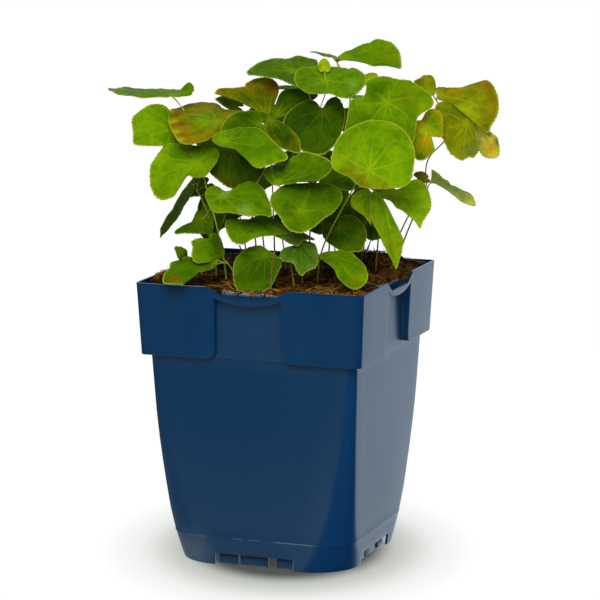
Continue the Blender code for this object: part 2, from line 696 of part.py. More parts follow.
def main():
    for obj in list(bpy.data.objects):
        bpy.data.objects.remove(obj)
    plastic = material("blue_plastic", (0.014, 0.045, 0.105), 0.42)
    medium = material("peat_and_coir", (0.075, 0.030, 0.010), 0.95)
    leaf_green = material("leaf_green", (0.120, 0.240, 0.004), 0.45)
    straw = material("dry_straw", (0.300, 0.170, 0.050), 0.80)
    make_pot(plastic)
    ways = [(way, STEM_RADIUS) for way, _ in LEAFY_STEMS.values()]
    ways += [(way, STALK_RADIUS * 1.2) for way in DRY_STALKS.values()]
    holes = []
    for way, radius in ways:
        root = root_of(way)
        holes.append((root.x, root.y, root.z - CLEAR, radius + HOLE_CLEAR))
    make_soil(medium, holes)
    for name, (way, leaflets) in LEAFY_STEMS.items():
        make_leafy_stem(name, way, leaflets, leaf_green)
    for name, way in DRY_STALKS.items():
        make_dry_stalk(name, way, straw)
    for mesh in bpy.data.meshes:
        mesh.transform(Matrix.Translation(POT_AXIS))


main()
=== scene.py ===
"""Looks of the potted barrenwort: finer leaves, stems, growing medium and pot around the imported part, and a
stage for them.

Metres, +Z up, in the row frame. The pieces are shaped about the pot's own axis and then moved to it. The
plant is laid out in millimetres in a frame of its own, turned by PLANT_TURN about +Z: right, away from the
front, and up above the pot's rim. The tables of stems and leaflets are those of the part's source.
"""

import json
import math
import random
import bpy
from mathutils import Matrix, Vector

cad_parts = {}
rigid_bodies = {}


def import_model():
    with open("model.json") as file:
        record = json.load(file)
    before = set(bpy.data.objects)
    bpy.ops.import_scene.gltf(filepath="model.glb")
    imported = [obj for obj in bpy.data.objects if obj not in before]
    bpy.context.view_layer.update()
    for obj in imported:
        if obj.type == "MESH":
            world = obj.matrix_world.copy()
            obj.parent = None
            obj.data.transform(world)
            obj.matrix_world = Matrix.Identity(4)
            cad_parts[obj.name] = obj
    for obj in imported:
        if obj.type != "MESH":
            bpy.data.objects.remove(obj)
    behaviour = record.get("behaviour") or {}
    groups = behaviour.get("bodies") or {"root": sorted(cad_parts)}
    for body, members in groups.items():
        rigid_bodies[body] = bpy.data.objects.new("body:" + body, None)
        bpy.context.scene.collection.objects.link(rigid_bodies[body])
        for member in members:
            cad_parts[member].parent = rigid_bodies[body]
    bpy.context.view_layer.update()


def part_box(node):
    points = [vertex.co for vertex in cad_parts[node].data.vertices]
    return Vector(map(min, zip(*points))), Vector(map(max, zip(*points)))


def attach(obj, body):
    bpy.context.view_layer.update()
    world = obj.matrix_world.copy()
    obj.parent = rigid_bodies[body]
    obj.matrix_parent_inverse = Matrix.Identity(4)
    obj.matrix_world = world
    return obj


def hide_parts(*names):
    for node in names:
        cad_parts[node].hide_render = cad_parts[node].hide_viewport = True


bl_info = {
    "name": "Potted barrenwort",
    "version": (1, 0, 0),
    "blender": (4, 5, 0),
    "location": "3D View > Sidebar > Barrenwort",
    "description": "Builds the leaves, stems, growing medium, nursery pot and stage of a potted barrenwort",
    "category": "Add Mesh",
}

from collections import namedtuple

import bmesh
import bpy
from bpy.props import FloatProperty, FloatVectorProperty, IntProperty, PointerProperty
from mathutils import Matrix, Vector, noise
from mathutils.geometry import interpolate_bezier

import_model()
POT_LOW, POT_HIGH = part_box("pot")

# The photograph's view. The place that it looks at is measured from the pot's axis.
PHOTO_SIDE = 600
LENS = 180.0
SENSOR = 36.0
VIEW_YAW = math.radians(19.87)
VIEW_ELEVATION = math.radians(9.93)
VIEW_DISTANCE = 1.7866
VIEW_TARGET = Vector((0.0072, 0, 0.1514))
# What a pixel spans at the object.
PIXEL_REACH = VIEW_DISTANCE * SENSOR / LENS / PHOTO_SIDE

MM = 0.001
POT_AXIS = Vector(((POT_LOW.x + POT_HIGH.x) / 2, (POT_LOW.y + POT_HIGH.y) / 2, 0))
BODY = "root"

# Pot
POT_HEIGHT = 0.1685
RIM_HALF = 0.070
COLLAR_FOOT = POT_HEIGHT - 0.0425
COLLAR_FOOT_HALF = 0.0679
COLLAR_CORNER = 0.004
FLOOR_UNDER = 0.007
FLOOR_TOP = 0.0095
# Height, half width and corner radius of the tapering body, from the foot to the underside of the collar.
BODY_SECTIONS = (
    (0.000, 0.0548, 0.0272),
    (0.007, 0.0557, 0.0240),
    (0.017, 0.0568, 0.0195),
    (0.034, 0.0583, 0.0143),
    (0.080, 0.0615, 0.0076),
    (COLLAR_FOOT, 0.0637, 0.0050),
)
PANEL_HALF = 0.0205
PANEL_FACE = 0.0644
PANEL_FLANK_RADIUS = 0.005
LIP_FOOT_SIDE = 0.0065
LIP_FOOT_MIDDLE = 0.0100
SCOOP_DEPTH = 0.006
SCOOP_FLAT_HALF = 0.012
SCOOP_HALF = 0.026
LEDGE_HALF = 0.018
LEDGE_DROP = 0.0022
LEDGE_HEIGHT = 0.009
LEDGE_THICK = 0.0012
LEDGE_WORN = 0.0008
LEDGE_SUNK = 0.0002
# From and to along the side of the two halves of a ledge, and how much lower each stands.
LEDGE_HALVES = ((-LEDGE_HALF, -0.0005, 0.0), (0.0004, LEDGE_HALF, 0.0005))
# Reach of the opening in the skirt to the left and to the right of a side's middle.
FOOT_GAP = (0.0262, 0.0230)
RIB_FACE = 0.0525
RIB_FOOT = 0.0005
RIB_THICK = 0.0015
# The ribs end a little inside the floor.
RIB_TOP = FLOOR_UNDER + 0.001
RIB_SPANS = ((-0.0245, -0.0125), (-0.0113, 0.0062), (0.0115, 0.0215))
DRAIN_RADIUS = 0.0045
DRAIN_RING = 0.036
LINE_HEIGHT = 0.017
LINE_RISE = 0.00022
FLANK_STEP = 0.0008
MOULDED_EDGE = 0.0003
# Angle in degrees over which an edge of the wall is rounded.
BEVELLED_OVER = 32
# Rows and columns of the wall's grid: heights of the body, and shares of the collar, the lip and a flat.
BODY_ROWS = (0, 0.0035, 0.007, 0.012, 0.0163, LINE_HEIGHT, 0.0177)
BODY_ROWS += tuple(0.0232 + 0.00734 * i for i in range(15))
COLLAR_ROWS = (0, 0.025, 0.055, 0.09, 0.14, 0.25, 0.4, 0.55, 0.7, 0.85, 1.0)
LIP_ROWS = (0, 0.35, 0.7, 1.0)
FLAT_STEPS = (0, 0.045, 0.095, 0.15, 0.3, 0.6, 1.0)
CORNER_STEPS = 6
PANEL_STEPS = 16

# How much longer the painted soft shadow round the pot is along the view than across it, and how the floor's
# painted glow brightens as the camera sees it: from and to a distance across the view, and the glow gained
# there.
HALO_STRETCH = 1.35
HALO_STEPS = ((0.047, 0.066, 0.46), (0.060, 0.095, 0.34), (0.085, 0.130, 0.15))
FLOOR_RADIUS = 9.0
FLOOR_DROP = 0.0001
# Where the lights point, about the middle of the object.
LIT_SPOT = (0, 0, 0.15)
# Each light's place, width and height.
LIGHTS = {
    "key": ((0.3, -1.25, 1.1), 0.9, 0.9),
    "side": ((1.3, 0.2, 0.7), 1.0, 1.2),
    "overhead": ((0, 0.1, 1.3), 1.6, 1.6),
}

# Growing medium
CLEAR = 0.0003
# Reach of the medium's top towards a side, its corner radius, and its distance from the wall's outer face.
SOIL_HALF = 0.0680
SOIL_CORNER = 0.003
SOIL_INSIDE = 0.0018
# Scale of the noise that tells damp, dark parts of the medium and its fibres from dry ones.
DAMP_SCALE = 75.0
SOIL_FOOT = FLOOR_TOP + CLEAR
SOIL_LEVEL = POT_HEIGHT - 0.004
SOIL_GRID = 150
# Mounds in the medium: right, away, spread and height in the plant's millimetres.
SOIL_MOUNDS = (
    (-72, -20, 16, 7.0),
    (48, 44, 30, 8.5),
    (-20, 50, 26, 5.0),
    (10, -62, 22, 1.5),
    (60, 5, 22, 2.5),
)
SOIL_DEPTHS = (0.150, 0.128, 0.1255, 0.100, 0.075, 0.050, 0.030, 0.016, SOIL_FOOT)
# Colours of loose coir as seen on a screen, and how often each is drawn.
COIR_HUES = ((184, 116, 28), (216, 152, 48), (124, 74, 22), (64, 38, 14), (156, 92, 24), (232, 188, 100))
COIR_WEIGHTS = (30, 18, 24, 16, 12, 4)
# How far loose coir may lie from the middle towards a side, the same in front of the recessed panels, and how
# far to each side the panels count.
COIR_REACH = 0.0665
COIR_REACH_PANEL = 0.0625
PANEL_REACH = PANEL_HALF + 0.003
CHIP_REACH = 0.066
# Where fibres stand up in a tuft: right and away in the plant's millimetres, spread, and how many.
TUFTS = ((50, 30, 15, 90), (38, 46, 16, 60), (60, 8, 8, 25), (-68, -14, 8, 6), (-60, 12, 12, 14))
TUFT_SUNK = 0.001
TUFT_RADIUS = 0.0002
ROOT_RADIUS = 0.00034
# Pale roots that curl over the medium: right and away of the start in the plant's millimetres, heading and
# turn in degrees, and length in millimetres.
ROOTS = (
    (24, -52, 25, 75, 22),
    (34, -44, 70, -60, 24),
    (50, -16, 100, 50, 26),
    (8, -60, 10, 40, 16),
    (-30, -44, 150, -70, 20),
    (-4, -56, 170, 50, 14),
    (62, 2, 110, -80, 22),
)

# Plant
PLANT_TURN = math.radians(20)
# Outline of a heart-shaped blade, from the tip round to the notch: angle at the stalk in degrees, and reach
# as a share of the blade's length.
OUTLINE = (
    (0, 1.00), (9, 0.94), (26, 0.85), (46, 0.71), (70, 0.60),
    (97, 0.53), (126, 0.47), (154, 0.36), (180, 0.06),
)
OUTLINE_WIDTH = 1.10
# Rings from the joint to the margin of a blade, and points round it by its length.
RINGS = (0, 0.10, 0.22, 0.34, 0.46, 0.57, 0.67, 0.76, 0.84, 0.91, 0.965, 1.0)
RAYS = ((12 * MM, 42), (24 * MM, 84), (99 * MM, 120))
# Where teeth begin, as a share of the way out, and how far the margin is drawn in between them.
TOOTH_FOOT = 0.93
MARGIN_INSET = 0.0001
# How far a traced margin may go past the leaflet's own length and width.
TRACE_LIMIT = 1.45
# Angles of the main veins at the stalk.
MAIN_VEINS = (0, 34, 76, 126, 190)
# Usual angle between two main veins, in radians.
VEIN_STEP = 0.62
STALK_SUNK = 0.0012
# How deep a stem stands in the medium, and how far it goes straight up from there.
STEM_SUNK = 0.006
STEM_UPRIGHT = 0.009
# Where the veins of a leaflet meet, in pixels of the photograph, if it isn't at the joint.
HEARTS = {"07a": (300, 211)}
# Ends of leaflets that curl up: the middle and spread of the curl in pixels of the photograph, and its rise
# in millimetres.
CURLS = {"01a": ((188, 93), 7, 6.0)}

# joint, tip: where the stalk meets the blade, and the blade's tip. lean, side: how far the upper face leans
# from straight up towards the front and towards the right, in degrees. bow: rise of the midrib's middle over
# its ends. cup: rise of the side margins. wave, turns, phase: ripple of the margin. lobes: length of the two
# lobes beside the stalk. skew: how much further the blade reaches on its left than on its right. taper: how
# far the width gathers towards the tip. springs: where its stalk leaves the stem, if not at the fork.
Leaf = namedtuple(
    "Leaf",
    "joint tip width lean side bow cup wave turns phase lobes skew taper springs",
    defaults=(0, 2.0, 0.0, 0.8, 3, 0, 1, 0, 0, None),
)

# Each leafy stem: its way from the medium to its fork, and then the leaflets that spring from the fork.
LEAFY_STEMS = (
    (  # 01
        ((-37, -12, -4), (-39, -14, 13), (-44, -16, 37), (-50, -17, 60), (-53, -13, 78)),
        Leaf((-69, 5, 105), (-106, 0, 109), 26, lean=4, bow=-1.5, wave=0),
        Leaf((-68, -8, 87), (-92, -15, 91), 27, lean=55, side=-5, lobes=0.8),
        Leaf((-42, -12, 91), (-65, -34, 81), 34, lean=42, side=-12, cup=-2.0, lobes=1.3, skew=-0.35),
        Leaf((-53, -30, 68), (-72, -48, 50), 38, lean=60, side=-20, skew=-0.1),
    ),
    (  # 02
        ((-43, -1, -4), (-44, -3, 15), (-48, -6, 36), (-54, -8, 50)),
        Leaf((-56, -25, 56), (-76, -30, 24), 22, lean=-30, side=-52, bow=1.0, cup=-1.0, lobes=0.35),
        Leaf((-49, -1, 52), (-58, -4, 45), 12, lean=60, side=-20),
        Leaf((-52, -8, 32), (-67, -14, 25), 20, lean=45, side=-10, lobes=0.7, springs=(-48, -6, 36)),
        Leaf((-45, 4, 40), (-47, 1, 16), 18, lean=80, side=-25, springs=(-48, -6, 36)),
    ),
    (  # 03
        ((-30, -26, -4), (-33, -27, 5), (-36, -28, 10)),
        Leaf((-39, -25, 14), (-55, -37, 23), 20, lean=50, side=-10, wave=1.2),
        Leaf((-43, -37, 11), (-72, -56, 4), 22, lean=38, side=-10, wave=1.2),
        Leaf((-61, -38, 14), (-66, -42, 21), 8, lean=50),
    ),
    (  # 04
        ((-22, -28, -4), (-24, -29, 12), (-27, -31, 30), (-29, -34, 42)),
        Leaf((-38, -45, 51), (-11, -55, 41), 32, lean=30, bow=3.0, cup=-1.5, lobes=0.9),
        Leaf((-15, -38, 36), (-30, -52, 26), 30, lean=52, cup=2.0),
        Leaf((-16, -30, 38), (15, -45, 26), 14, lean=20, cup=-2.0, lobes=0.3),
    ),
    (  # 05
        ((-18, -14, -4), (-20, -14, 25), (-25, -14, 55), (-30, -15, 76)),
        Leaf((-36, -38, 82), (0, -48, 73), 27, lean=45, bow=2.5, cup=-2.0, lobes=0.5, skew=0.24),
        Leaf((-33, -20, 75), (-22, -28, 53), 34, lean=62, side=-5),
        Leaf((-17, -16, 90), (-39, -25, 86), 22, lean=45),
    ),
    (  # 06
        ((3, -36, -4), (2, -37, 5), (1, -38, 12)),
        Leaf((-14, -44, 16), (-25, -53, -2), 29, lean=68, side=-10, lobes=0.75),
        Leaf((7, -42, 23), (8, -56, 6), 22, lean=70, skew=0.15),
    ),
    (  # 07
        ((8, -22, -4), (8, -23, 18), (8, -26, 38), (7, -31, 50)),
        Leaf((16, -45, 55), (3, -62, 32), 42, lean=58, bow=3.0, cup=-1.0, lobes=0.9),
        Leaf((-6, -48, 60), (25, -55, 71), 26, lean=38, bow=-2.0, cup=1.5, wave=1.5, phase=60),
    ),
    (  # 08
        ((27, -26, -4), (27, -28, 5), (27, -31, 12)),
        Leaf((27, -42, 15), (39, -60, -1), 26, lean=58, side=10, bow=3.0),
        Leaf((29, -16, 29), (43, -29, 16), 24, lean=50, lobes=0.6),
    ),
    (  # 09
        ((52, 2, -4), (53, -5, 18), (54, -16, 38), (56, -25, 50)),
        Leaf((52, -44, 54), (62, -53, 9), 26, lean=60, side=30, bow=3.0, cup=2.0, lobes=0.8),
        Leaf((63, -28, 50), (76, -42, 32), 30, lean=62, side=15),
        Leaf((47, -28, 51), (40, -34, 38), 14, lean=60, side=-10, lobes=0.6),
    ),
    (  # 10
        ((17, -18, -4), (19, -23, 14), (25, -30, 30), (39, -34, 57), (46, -37, 74)),
        Leaf((46, -64, 69), (50, -47, 94), 48, lean=55, bow=2.5, cup=-1.0, lobes=0.85),
        Leaf((57, -40, 105), (50, -39, 76), 48, lean=82, bow=3.0, cup=-2.0, lobes=1.1),
    ),
    (  # 11
        (
            (62, 6, -4), (65, 5, 7), (69, 2, 19), (75, -3, 36), (80, -9, 54), (82, -15, 69), (91, -19, 80),
            (95, -17, 86),
        ),
        Leaf((81, -28, 90), (76, -38, 71), 20, lean=72),
        Leaf((104, -20, 90), (101, -31, 70), 26, lean=66, lobes=1.4, skew=-0.25),
        Leaf((108, -10, 90), (123, -14, 72), 14, lean=60, side=20, lobes=0.3, taper=1.5),
        Leaf((88, -8, 106), (122, -16, 97), 32, lean=54, side=5, lobes=0.4, skew=-0.1, taper=1.2),
        Leaf((84, -4, 107), (74, 0, 115), 12, lean=50, side=-10, bow=0.5, wave=0.3),
    ),
    (  # 12
        ((60, 18, -4), (64, 16, 14), (72, 12, 32), (82, 8, 48)),
        Leaf((85, 6, 53), (109, 0, 39), 14, lean=32, side=10, bow=1.5),
        Leaf((82, 6, 55), (74, 2, 57), 8, lean=40, bow=0.5, wave=0.2, lobes=0.5),
    ),
    (  # 13
        ((12, 4, -4), (13, 2, 30), (15, 1, 62), (17, -3, 92)),
        Leaf((3, 5, 119), (-24, 8, 121), 30, lean=16, bow=1.5),
        Leaf((22, -20, 116), (18, 8, 126), 42, lean=20, bow=1.5, lobes=1.1),
        Leaf((21, -14, 122), (21, -10, 128), 7, lean=60, bow=0.3, springs=(22, -20, 116)),
        Leaf((20, -12, 97), (18, -26, 73), 44, lean=62, cup=-1.5),
    ),
    (  # 14
        ((30, 18, -4), (32, 19, 35), (34, 19, 75), (37, 17, 104)),
        Leaf((30, 18, 125), (67, 6, 121), 28, lean=30, bow=1.0, cup=2.0, lobes=0.4, taper=1.2),
        Leaf((27, 18, 126), (13, 20, 129), 8, lean=5, bow=0.5, wave=0.2),
        Leaf((43, 9, 113), (37, 11, 120), 8, lean=50, bow=0.5, wave=0.2),
        Leaf((47, 5, 113), (52, 7, 117), 8, lean=50, bow=0.5, wave=0.2),
    ),
    (  # 15
        ((-8, 8, -4), (-9, 7, 30), (-10, 5, 62), (-11, 2, 86)),
        Leaf((-14, -4, 94), (-43, -2, 107), 20, lean=32, bow=1.5, lobes=0.6),
        Leaf((-12, 4, 95), (-19, 10, 113), 26, lean=42, bow=1.5),
        Leaf((-31, 9, 98), (-43, 9, 102), 9, lean=40, bow=0.5),
        Leaf((-6, 0, 94), (15, 10, 106), 22, lean=58, bow=1.5, lobes=0.5),
        Leaf((-10, -24, 93), (7, -37, 75), 22, lean=60),
    ),
    (  # 16
        ((38, 8, -4), (38, 8, 15), (40, 7, 32), (42, 4, 44)),
        Leaf((37, -10, 59), (17, -17, 53), 22, lean=40, lobes=0.7),
        Leaf((36, 1, 44), (29, -1, 18), 28, lean=82),
        Leaf((46, 9, 31), (57, 4, 19), 20, lean=75, side=10, springs=(40, 7, 32)),
    ),
    (  # 17
        ((-14, 26, -4), (-16, 27, 20), (-19, 29, 42), (-22, 31, 58)),
        Leaf((-30, 38, 80), (-52, 60, 62), 32, lean=-42, side=-20),
        Leaf((-16, 42, 55), (-28, 74, 36), 34, lean=-50, side=-10),
        Leaf((-29, 28, 35), (-46, 46, 16), 26, lean=-45, side=-25, springs=(-18, 28, 34)),
    ),
    (  # 18
        ((4, 30, -4), (4, 31, 30), (3, 34, 60), (2, 38, 84)),
        Leaf((-5, 48, 92), (-10, 80, 78), 36, lean=-50, side=-5),
        Leaf((5, 32, 106), (-4, 60, 102), 30, lean=-12, side=-5),
        Leaf((12, 50, 62), (14, 86, 42), 40, lean=-52, springs=(3, 34, 58)),
    ),
    (  # 19
        ((24, 32, -4), (26, 33, 25), (29, 34, 50), (32, 35, 76)),
        Leaf((28, 46, 88), (40, 78, 72), 34, lean=-48, side=8),
        Leaf((42, 28, 100), (60, 50, 94), 30, lean=-15, side=15),
        Leaf((44, 44, 54), (58, 74, 36), 32, lean=-45, side=15, springs=(29, 34, 50)),
    ),
    (  # 20
        ((44, 24, -4), (46, 24, 15), (50, 24, 36), (54, 24, 54)),
        Leaf((58, 32, 76), (78, 52, 66), 30, lean=-25, side=35),
        Leaf((60, 22, 48), (72, 36, 32), 24, lean=-15, side=50),
        Leaf((46, 42, 26), (54, 66, 12), 24, lean=-45, side=15, springs=(46, 24, 15)),
    ),
    (  # 21
        ((-2, 22, -4), (-3, 24, 10), (-5, 28, 22)),
        Leaf((-10, 38, 27), (-17, 62, 12), 24, lean=-45, side=-10, lobes=0.8),
        Leaf((13, 42, 26), (19, 66, 12), 22, lean=-45, side=5, lobes=0.8),
    ),
)

# Dead stalks without leaves: the way of each from the medium to its broken end.
DRY_STALKS = {
    "dry_stalk_01": ((-10, -60, -4), (-10, -62, 8), (-8, -64, 22)),
    "dry_stalk_02": ((46, 26, -4), (47, 25, 8), (51, 22, 19)),
    "dry_stalk_03": ((-24, -6, -4), (-26, -8, 8), (-29, -10, 17)),
}

# Colours of each stem and of its stalks as seen on a screen, where they aren't the usual yellow-green.
STEM_HUE = (184, 192, 56)
STALK_HUE = (190, 204, 52)
OTHER_STEM_HUES = {
    # Stem 01 is brighter than its own green: painted light where the leaves above shade it.
    "01": ((220, 236, 66), (220, 236, 66)),
    "05": ((204, 206, 90), (204, 206, 90)),
    "08": ((120, 92, 30), (120, 120, 30)),
    "09": ((164, 128, 84), (160, 140, 70)),
    "11": ((156, 124, 92), (164, 136, 76)),
    "12": ((160, 124, 96), (140, 120, 70)),
    "16": ((110, 80, 40), (110, 110, 30)),
}

# Colours of blades as seen on a screen, 0 to 255.
HUES = {
    "bright": (116, 157, 5),
    "fresh": (98, 140, 4),
    "mid": (80, 118, 4),
    "deep": (58, 92, 4),
    "shade": (44, 74, 4),
    "blue_green": (72, 114, 20),
    "grey_green": (92, 118, 54),
    "yellow_green": (150, 168, 12),
    "olive": (128, 132, 8),
    "bronze": (136, 112, 12),
    "yellow": (186, 176, 16),
    "rust": (148, 84, 12),
    "orange": (196, 118, 10),
    "pink": (172, 118, 92),
    "pale": (160, 180, 84),
    # The last two hues are brighter than a leaflet's own green: painted light for leaflets that lie in shade.
    "light": (150, 190, 14),
    "cream": (226, 220, 64),
}
# hue: colour of the blade. edge, edge_share: colour towards the margin and how much of it. patches: soft
# patches of another colour, each as (hue, its middle and its spread in pixels of the photograph, strength).
Look = namedtuple("Look", "hue edge edge_share patches")


def look(hue, *patches, edge="yellow_green", share=0.15):
    return Look(hue, edge, share, patches)


# Looks of leaflets by their code: the number of the stem, and a letter for the leaflet in the order above.
LEAF_LOOKS = {
    # The deep patch on 01a is painted shade on its curled end.
    "01a": look("fresh", ("deep", 187, 88, 9, 0.6)),
    "01b": look("bright", ("mid", 165, 118, 14, 0.5), share=0.1),
    "01c": look(
        "olive", ("bright", 205, 120, 14, 0.9), ("yellow", 170, 112, 5, 1.5),
        ("yellow", 171, 122, 5, 1.6), ("yellow", 174, 132, 5, 1.6), ("yellow", 179, 141, 5, 1.3),
        ("rust", 180, 114, 3, 1.0), ("rust", 181, 124, 3, 1.2), ("rust", 184, 134, 3, 1.0),
        ("rust", 230, 120, 8, 0.5), ("bronze", 200, 106, 6, 0.5), edge="rust", share=0.5,
    ),
    "01d": look("bright", ("mid", 208, 156, 14, 0.75), ("mid", 176, 152, 10, 0.3)),
    "02a": look("grey_green"),
    "02b": look("shade"),
    "02c": look("mid"),
    "02d": look("shade"),
    "03a": look("fresh", ("deep", 215, 245, 9, 0.6), share=0.1),
    "03b": look("mid", ("rust", 173, 280, 5, 0.9), ("mid", 200, 268, 8, 0.5), share=0.1),
    "03c": look("deep"),
    # The pale patches on 04a are painted glints of sheen.
    "04a": look(
        "fresh", ("pale", 226, 193, 4, 0.6), ("pale", 245, 210, 6, 0.5), ("mid", 255, 195, 14, 0.4),
    ),
    "04b": look("fresh", ("shade", 262, 222, 12, 0.6), share=0.1),
    "04c": look("shade"),
    "05a": look("fresh", ("mid", 245, 142, 20, 0.8)),
    "05b": look("shade", edge="rust", share=0.12),
    "05c": look("deep"),
    "06a": look("mid", ("deep", 258, 268, 24, 1.0), share=0.1),
    "06b": look("blue_green", edge="pale"),
    # The deep patches along the top of 07a are the painted shadow that 07b casts on it.
    "07a": look("mid", ("deep", 300, 190, 14, 0.8), ("deep", 325, 190, 12, 0.7)),
    "07b": look("mid", ("deep", 279, 171, 8, 0.9), ("deep", 325, 165, 10, 0.3)),
    "08a": look("fresh", ("orange", 356, 281, 6, 0.2), ("deep", 330, 258, 10, 0.6), share=0.2),
    "08b": look("deep"),
    "09a": look("bright", ("orange", 392, 243, 5, 0.3), ("yellow_green", 372, 222, 8, 0.6), share=0.3),
    # 09b and 09c take a hue brighter than their own: painted light on leaflets that face away from the lamps.
    "09b": look("light", ("bright", 410, 204, 14, 0.6), share=0.2),
    "09c": look("light", edge="yellow", share=0.5),
    "10a": look(
        "bright", ("bronze", 350, 173, 9, 0.6), ("bronze", 362, 183, 9, 0.7),
        ("bronze", 382, 186, 8, 0.4), ("mid", 355, 135, 16, 0.35), ("mid", 400, 135, 14, 0.25),
        ("yellow_green", 345, 160, 12, 0.3), share=0.08,
    ),
    "10b": look(
        "fresh", ("deep", 372, 92, 9, 0.7), ("olive", 405, 98, 12, 0.5),
        ("yellow_green", 424, 108, 10, 0.5), ("deep", 386, 84, 9, 0.4), ("deep", 352, 118, 9, 0.3),
        share=0.08,
    ),
    "11a": look(
        "yellow_green", ("mid", 436, 125, 8, 0.7), ("yellow", 418, 128, 8, 0.6),
        ("orange", 425, 142, 5, 0.7), ("deep", 420, 156, 6, 0.8), ("orange", 412, 118, 4, 0.5),
        edge="orange", share=0.35,
    ),
    "11b": look("olive", ("mid", 450, 110, 10, 0.5), ("grey_green", 473, 150, 7, 0.7), share=0.1),
    # 11c takes a hue brighter than its own as painted light; its orange, rust and pink patches are its own
    # colours.
    "11c": look(
        "cream", ("orange", 490, 148, 6, 0.8), ("rust", 498, 142, 5, 0.9), ("pink", 478, 142, 6, 0.8),
        edge="yellow", share=0.3,
    ),
    "11d": look(
        "olive", ("orange", 455, 88, 9, 0.3), ("yellow_green", 470, 112, 16, 0.8),
        ("rust", 484, 82, 7, 0.5), edge="rust", share=0.3,
    ),
    "11e": look("olive", ("deep", 419, 82, 5, 0.6), edge="bronze", share=0.4),
    # 12a's pale hue, patch and margin are brighter than its own: painted light on a leaflet in shade.
    "12a": look(
        "pale", ("cream", 452, 172, 7, 0.5), ("yellow_green", 440, 186, 8, 0.4), edge="cream",
        share=0.6,
    ),
    "12b": look("bronze", edge="rust", share=0.5),
    "13a": look("mid", ("fresh", 290, 68, 14, 0.4), ("deep", 285, 78, 10, 0.6), share=0.08),
    "13b": look("fresh", ("mid", 315, 75, 12, 0.4), ("pale", 354, 86, 7, 0.25), share=0.08),
    "13c": look("yellow_green"),
    "13d": look("deep", ("shade", 300, 120, 16, 0.7), share=0.05),
    "14a": look("fresh", ("olive", 392, 55, 12, 0.5), share=0.1),
    "14b": look("grey_green"),
    "14c": look("olive", edge="rust", share=0.6),
    "14d": look("yellow_green"),
    "15a": look("olive", ("deep", 245, 98, 16, 0.6), edge="rust", share=0.3),
    "15b": look(
        "olive", ("yellow", 260, 84, 7, 0.6), ("rust", 272, 88, 6, 0.7), ("mid", 268, 102, 8, 0.5),
        edge="orange", share=0.25,
    ),
    "15c": look("shade"),
    "15d": look("deep", ("mid", 293, 98, 9, 0.6), share=0.05),
    "15e": look("shade", ("deep", 278, 132, 8, 0.5), edge="olive", share=0.5),
    "16a": look("deep"),
    "16b": look("deep"),
    "16c": look("shade"),
    "18b": look("fresh"),
    "19a": look("olive", edge="rust", share=0.4),
    "20a": look("fresh"),
}
OTHER_LOOKS = (look("fresh"), look("mid"), look("fresh", share=0.2), look("deep"))

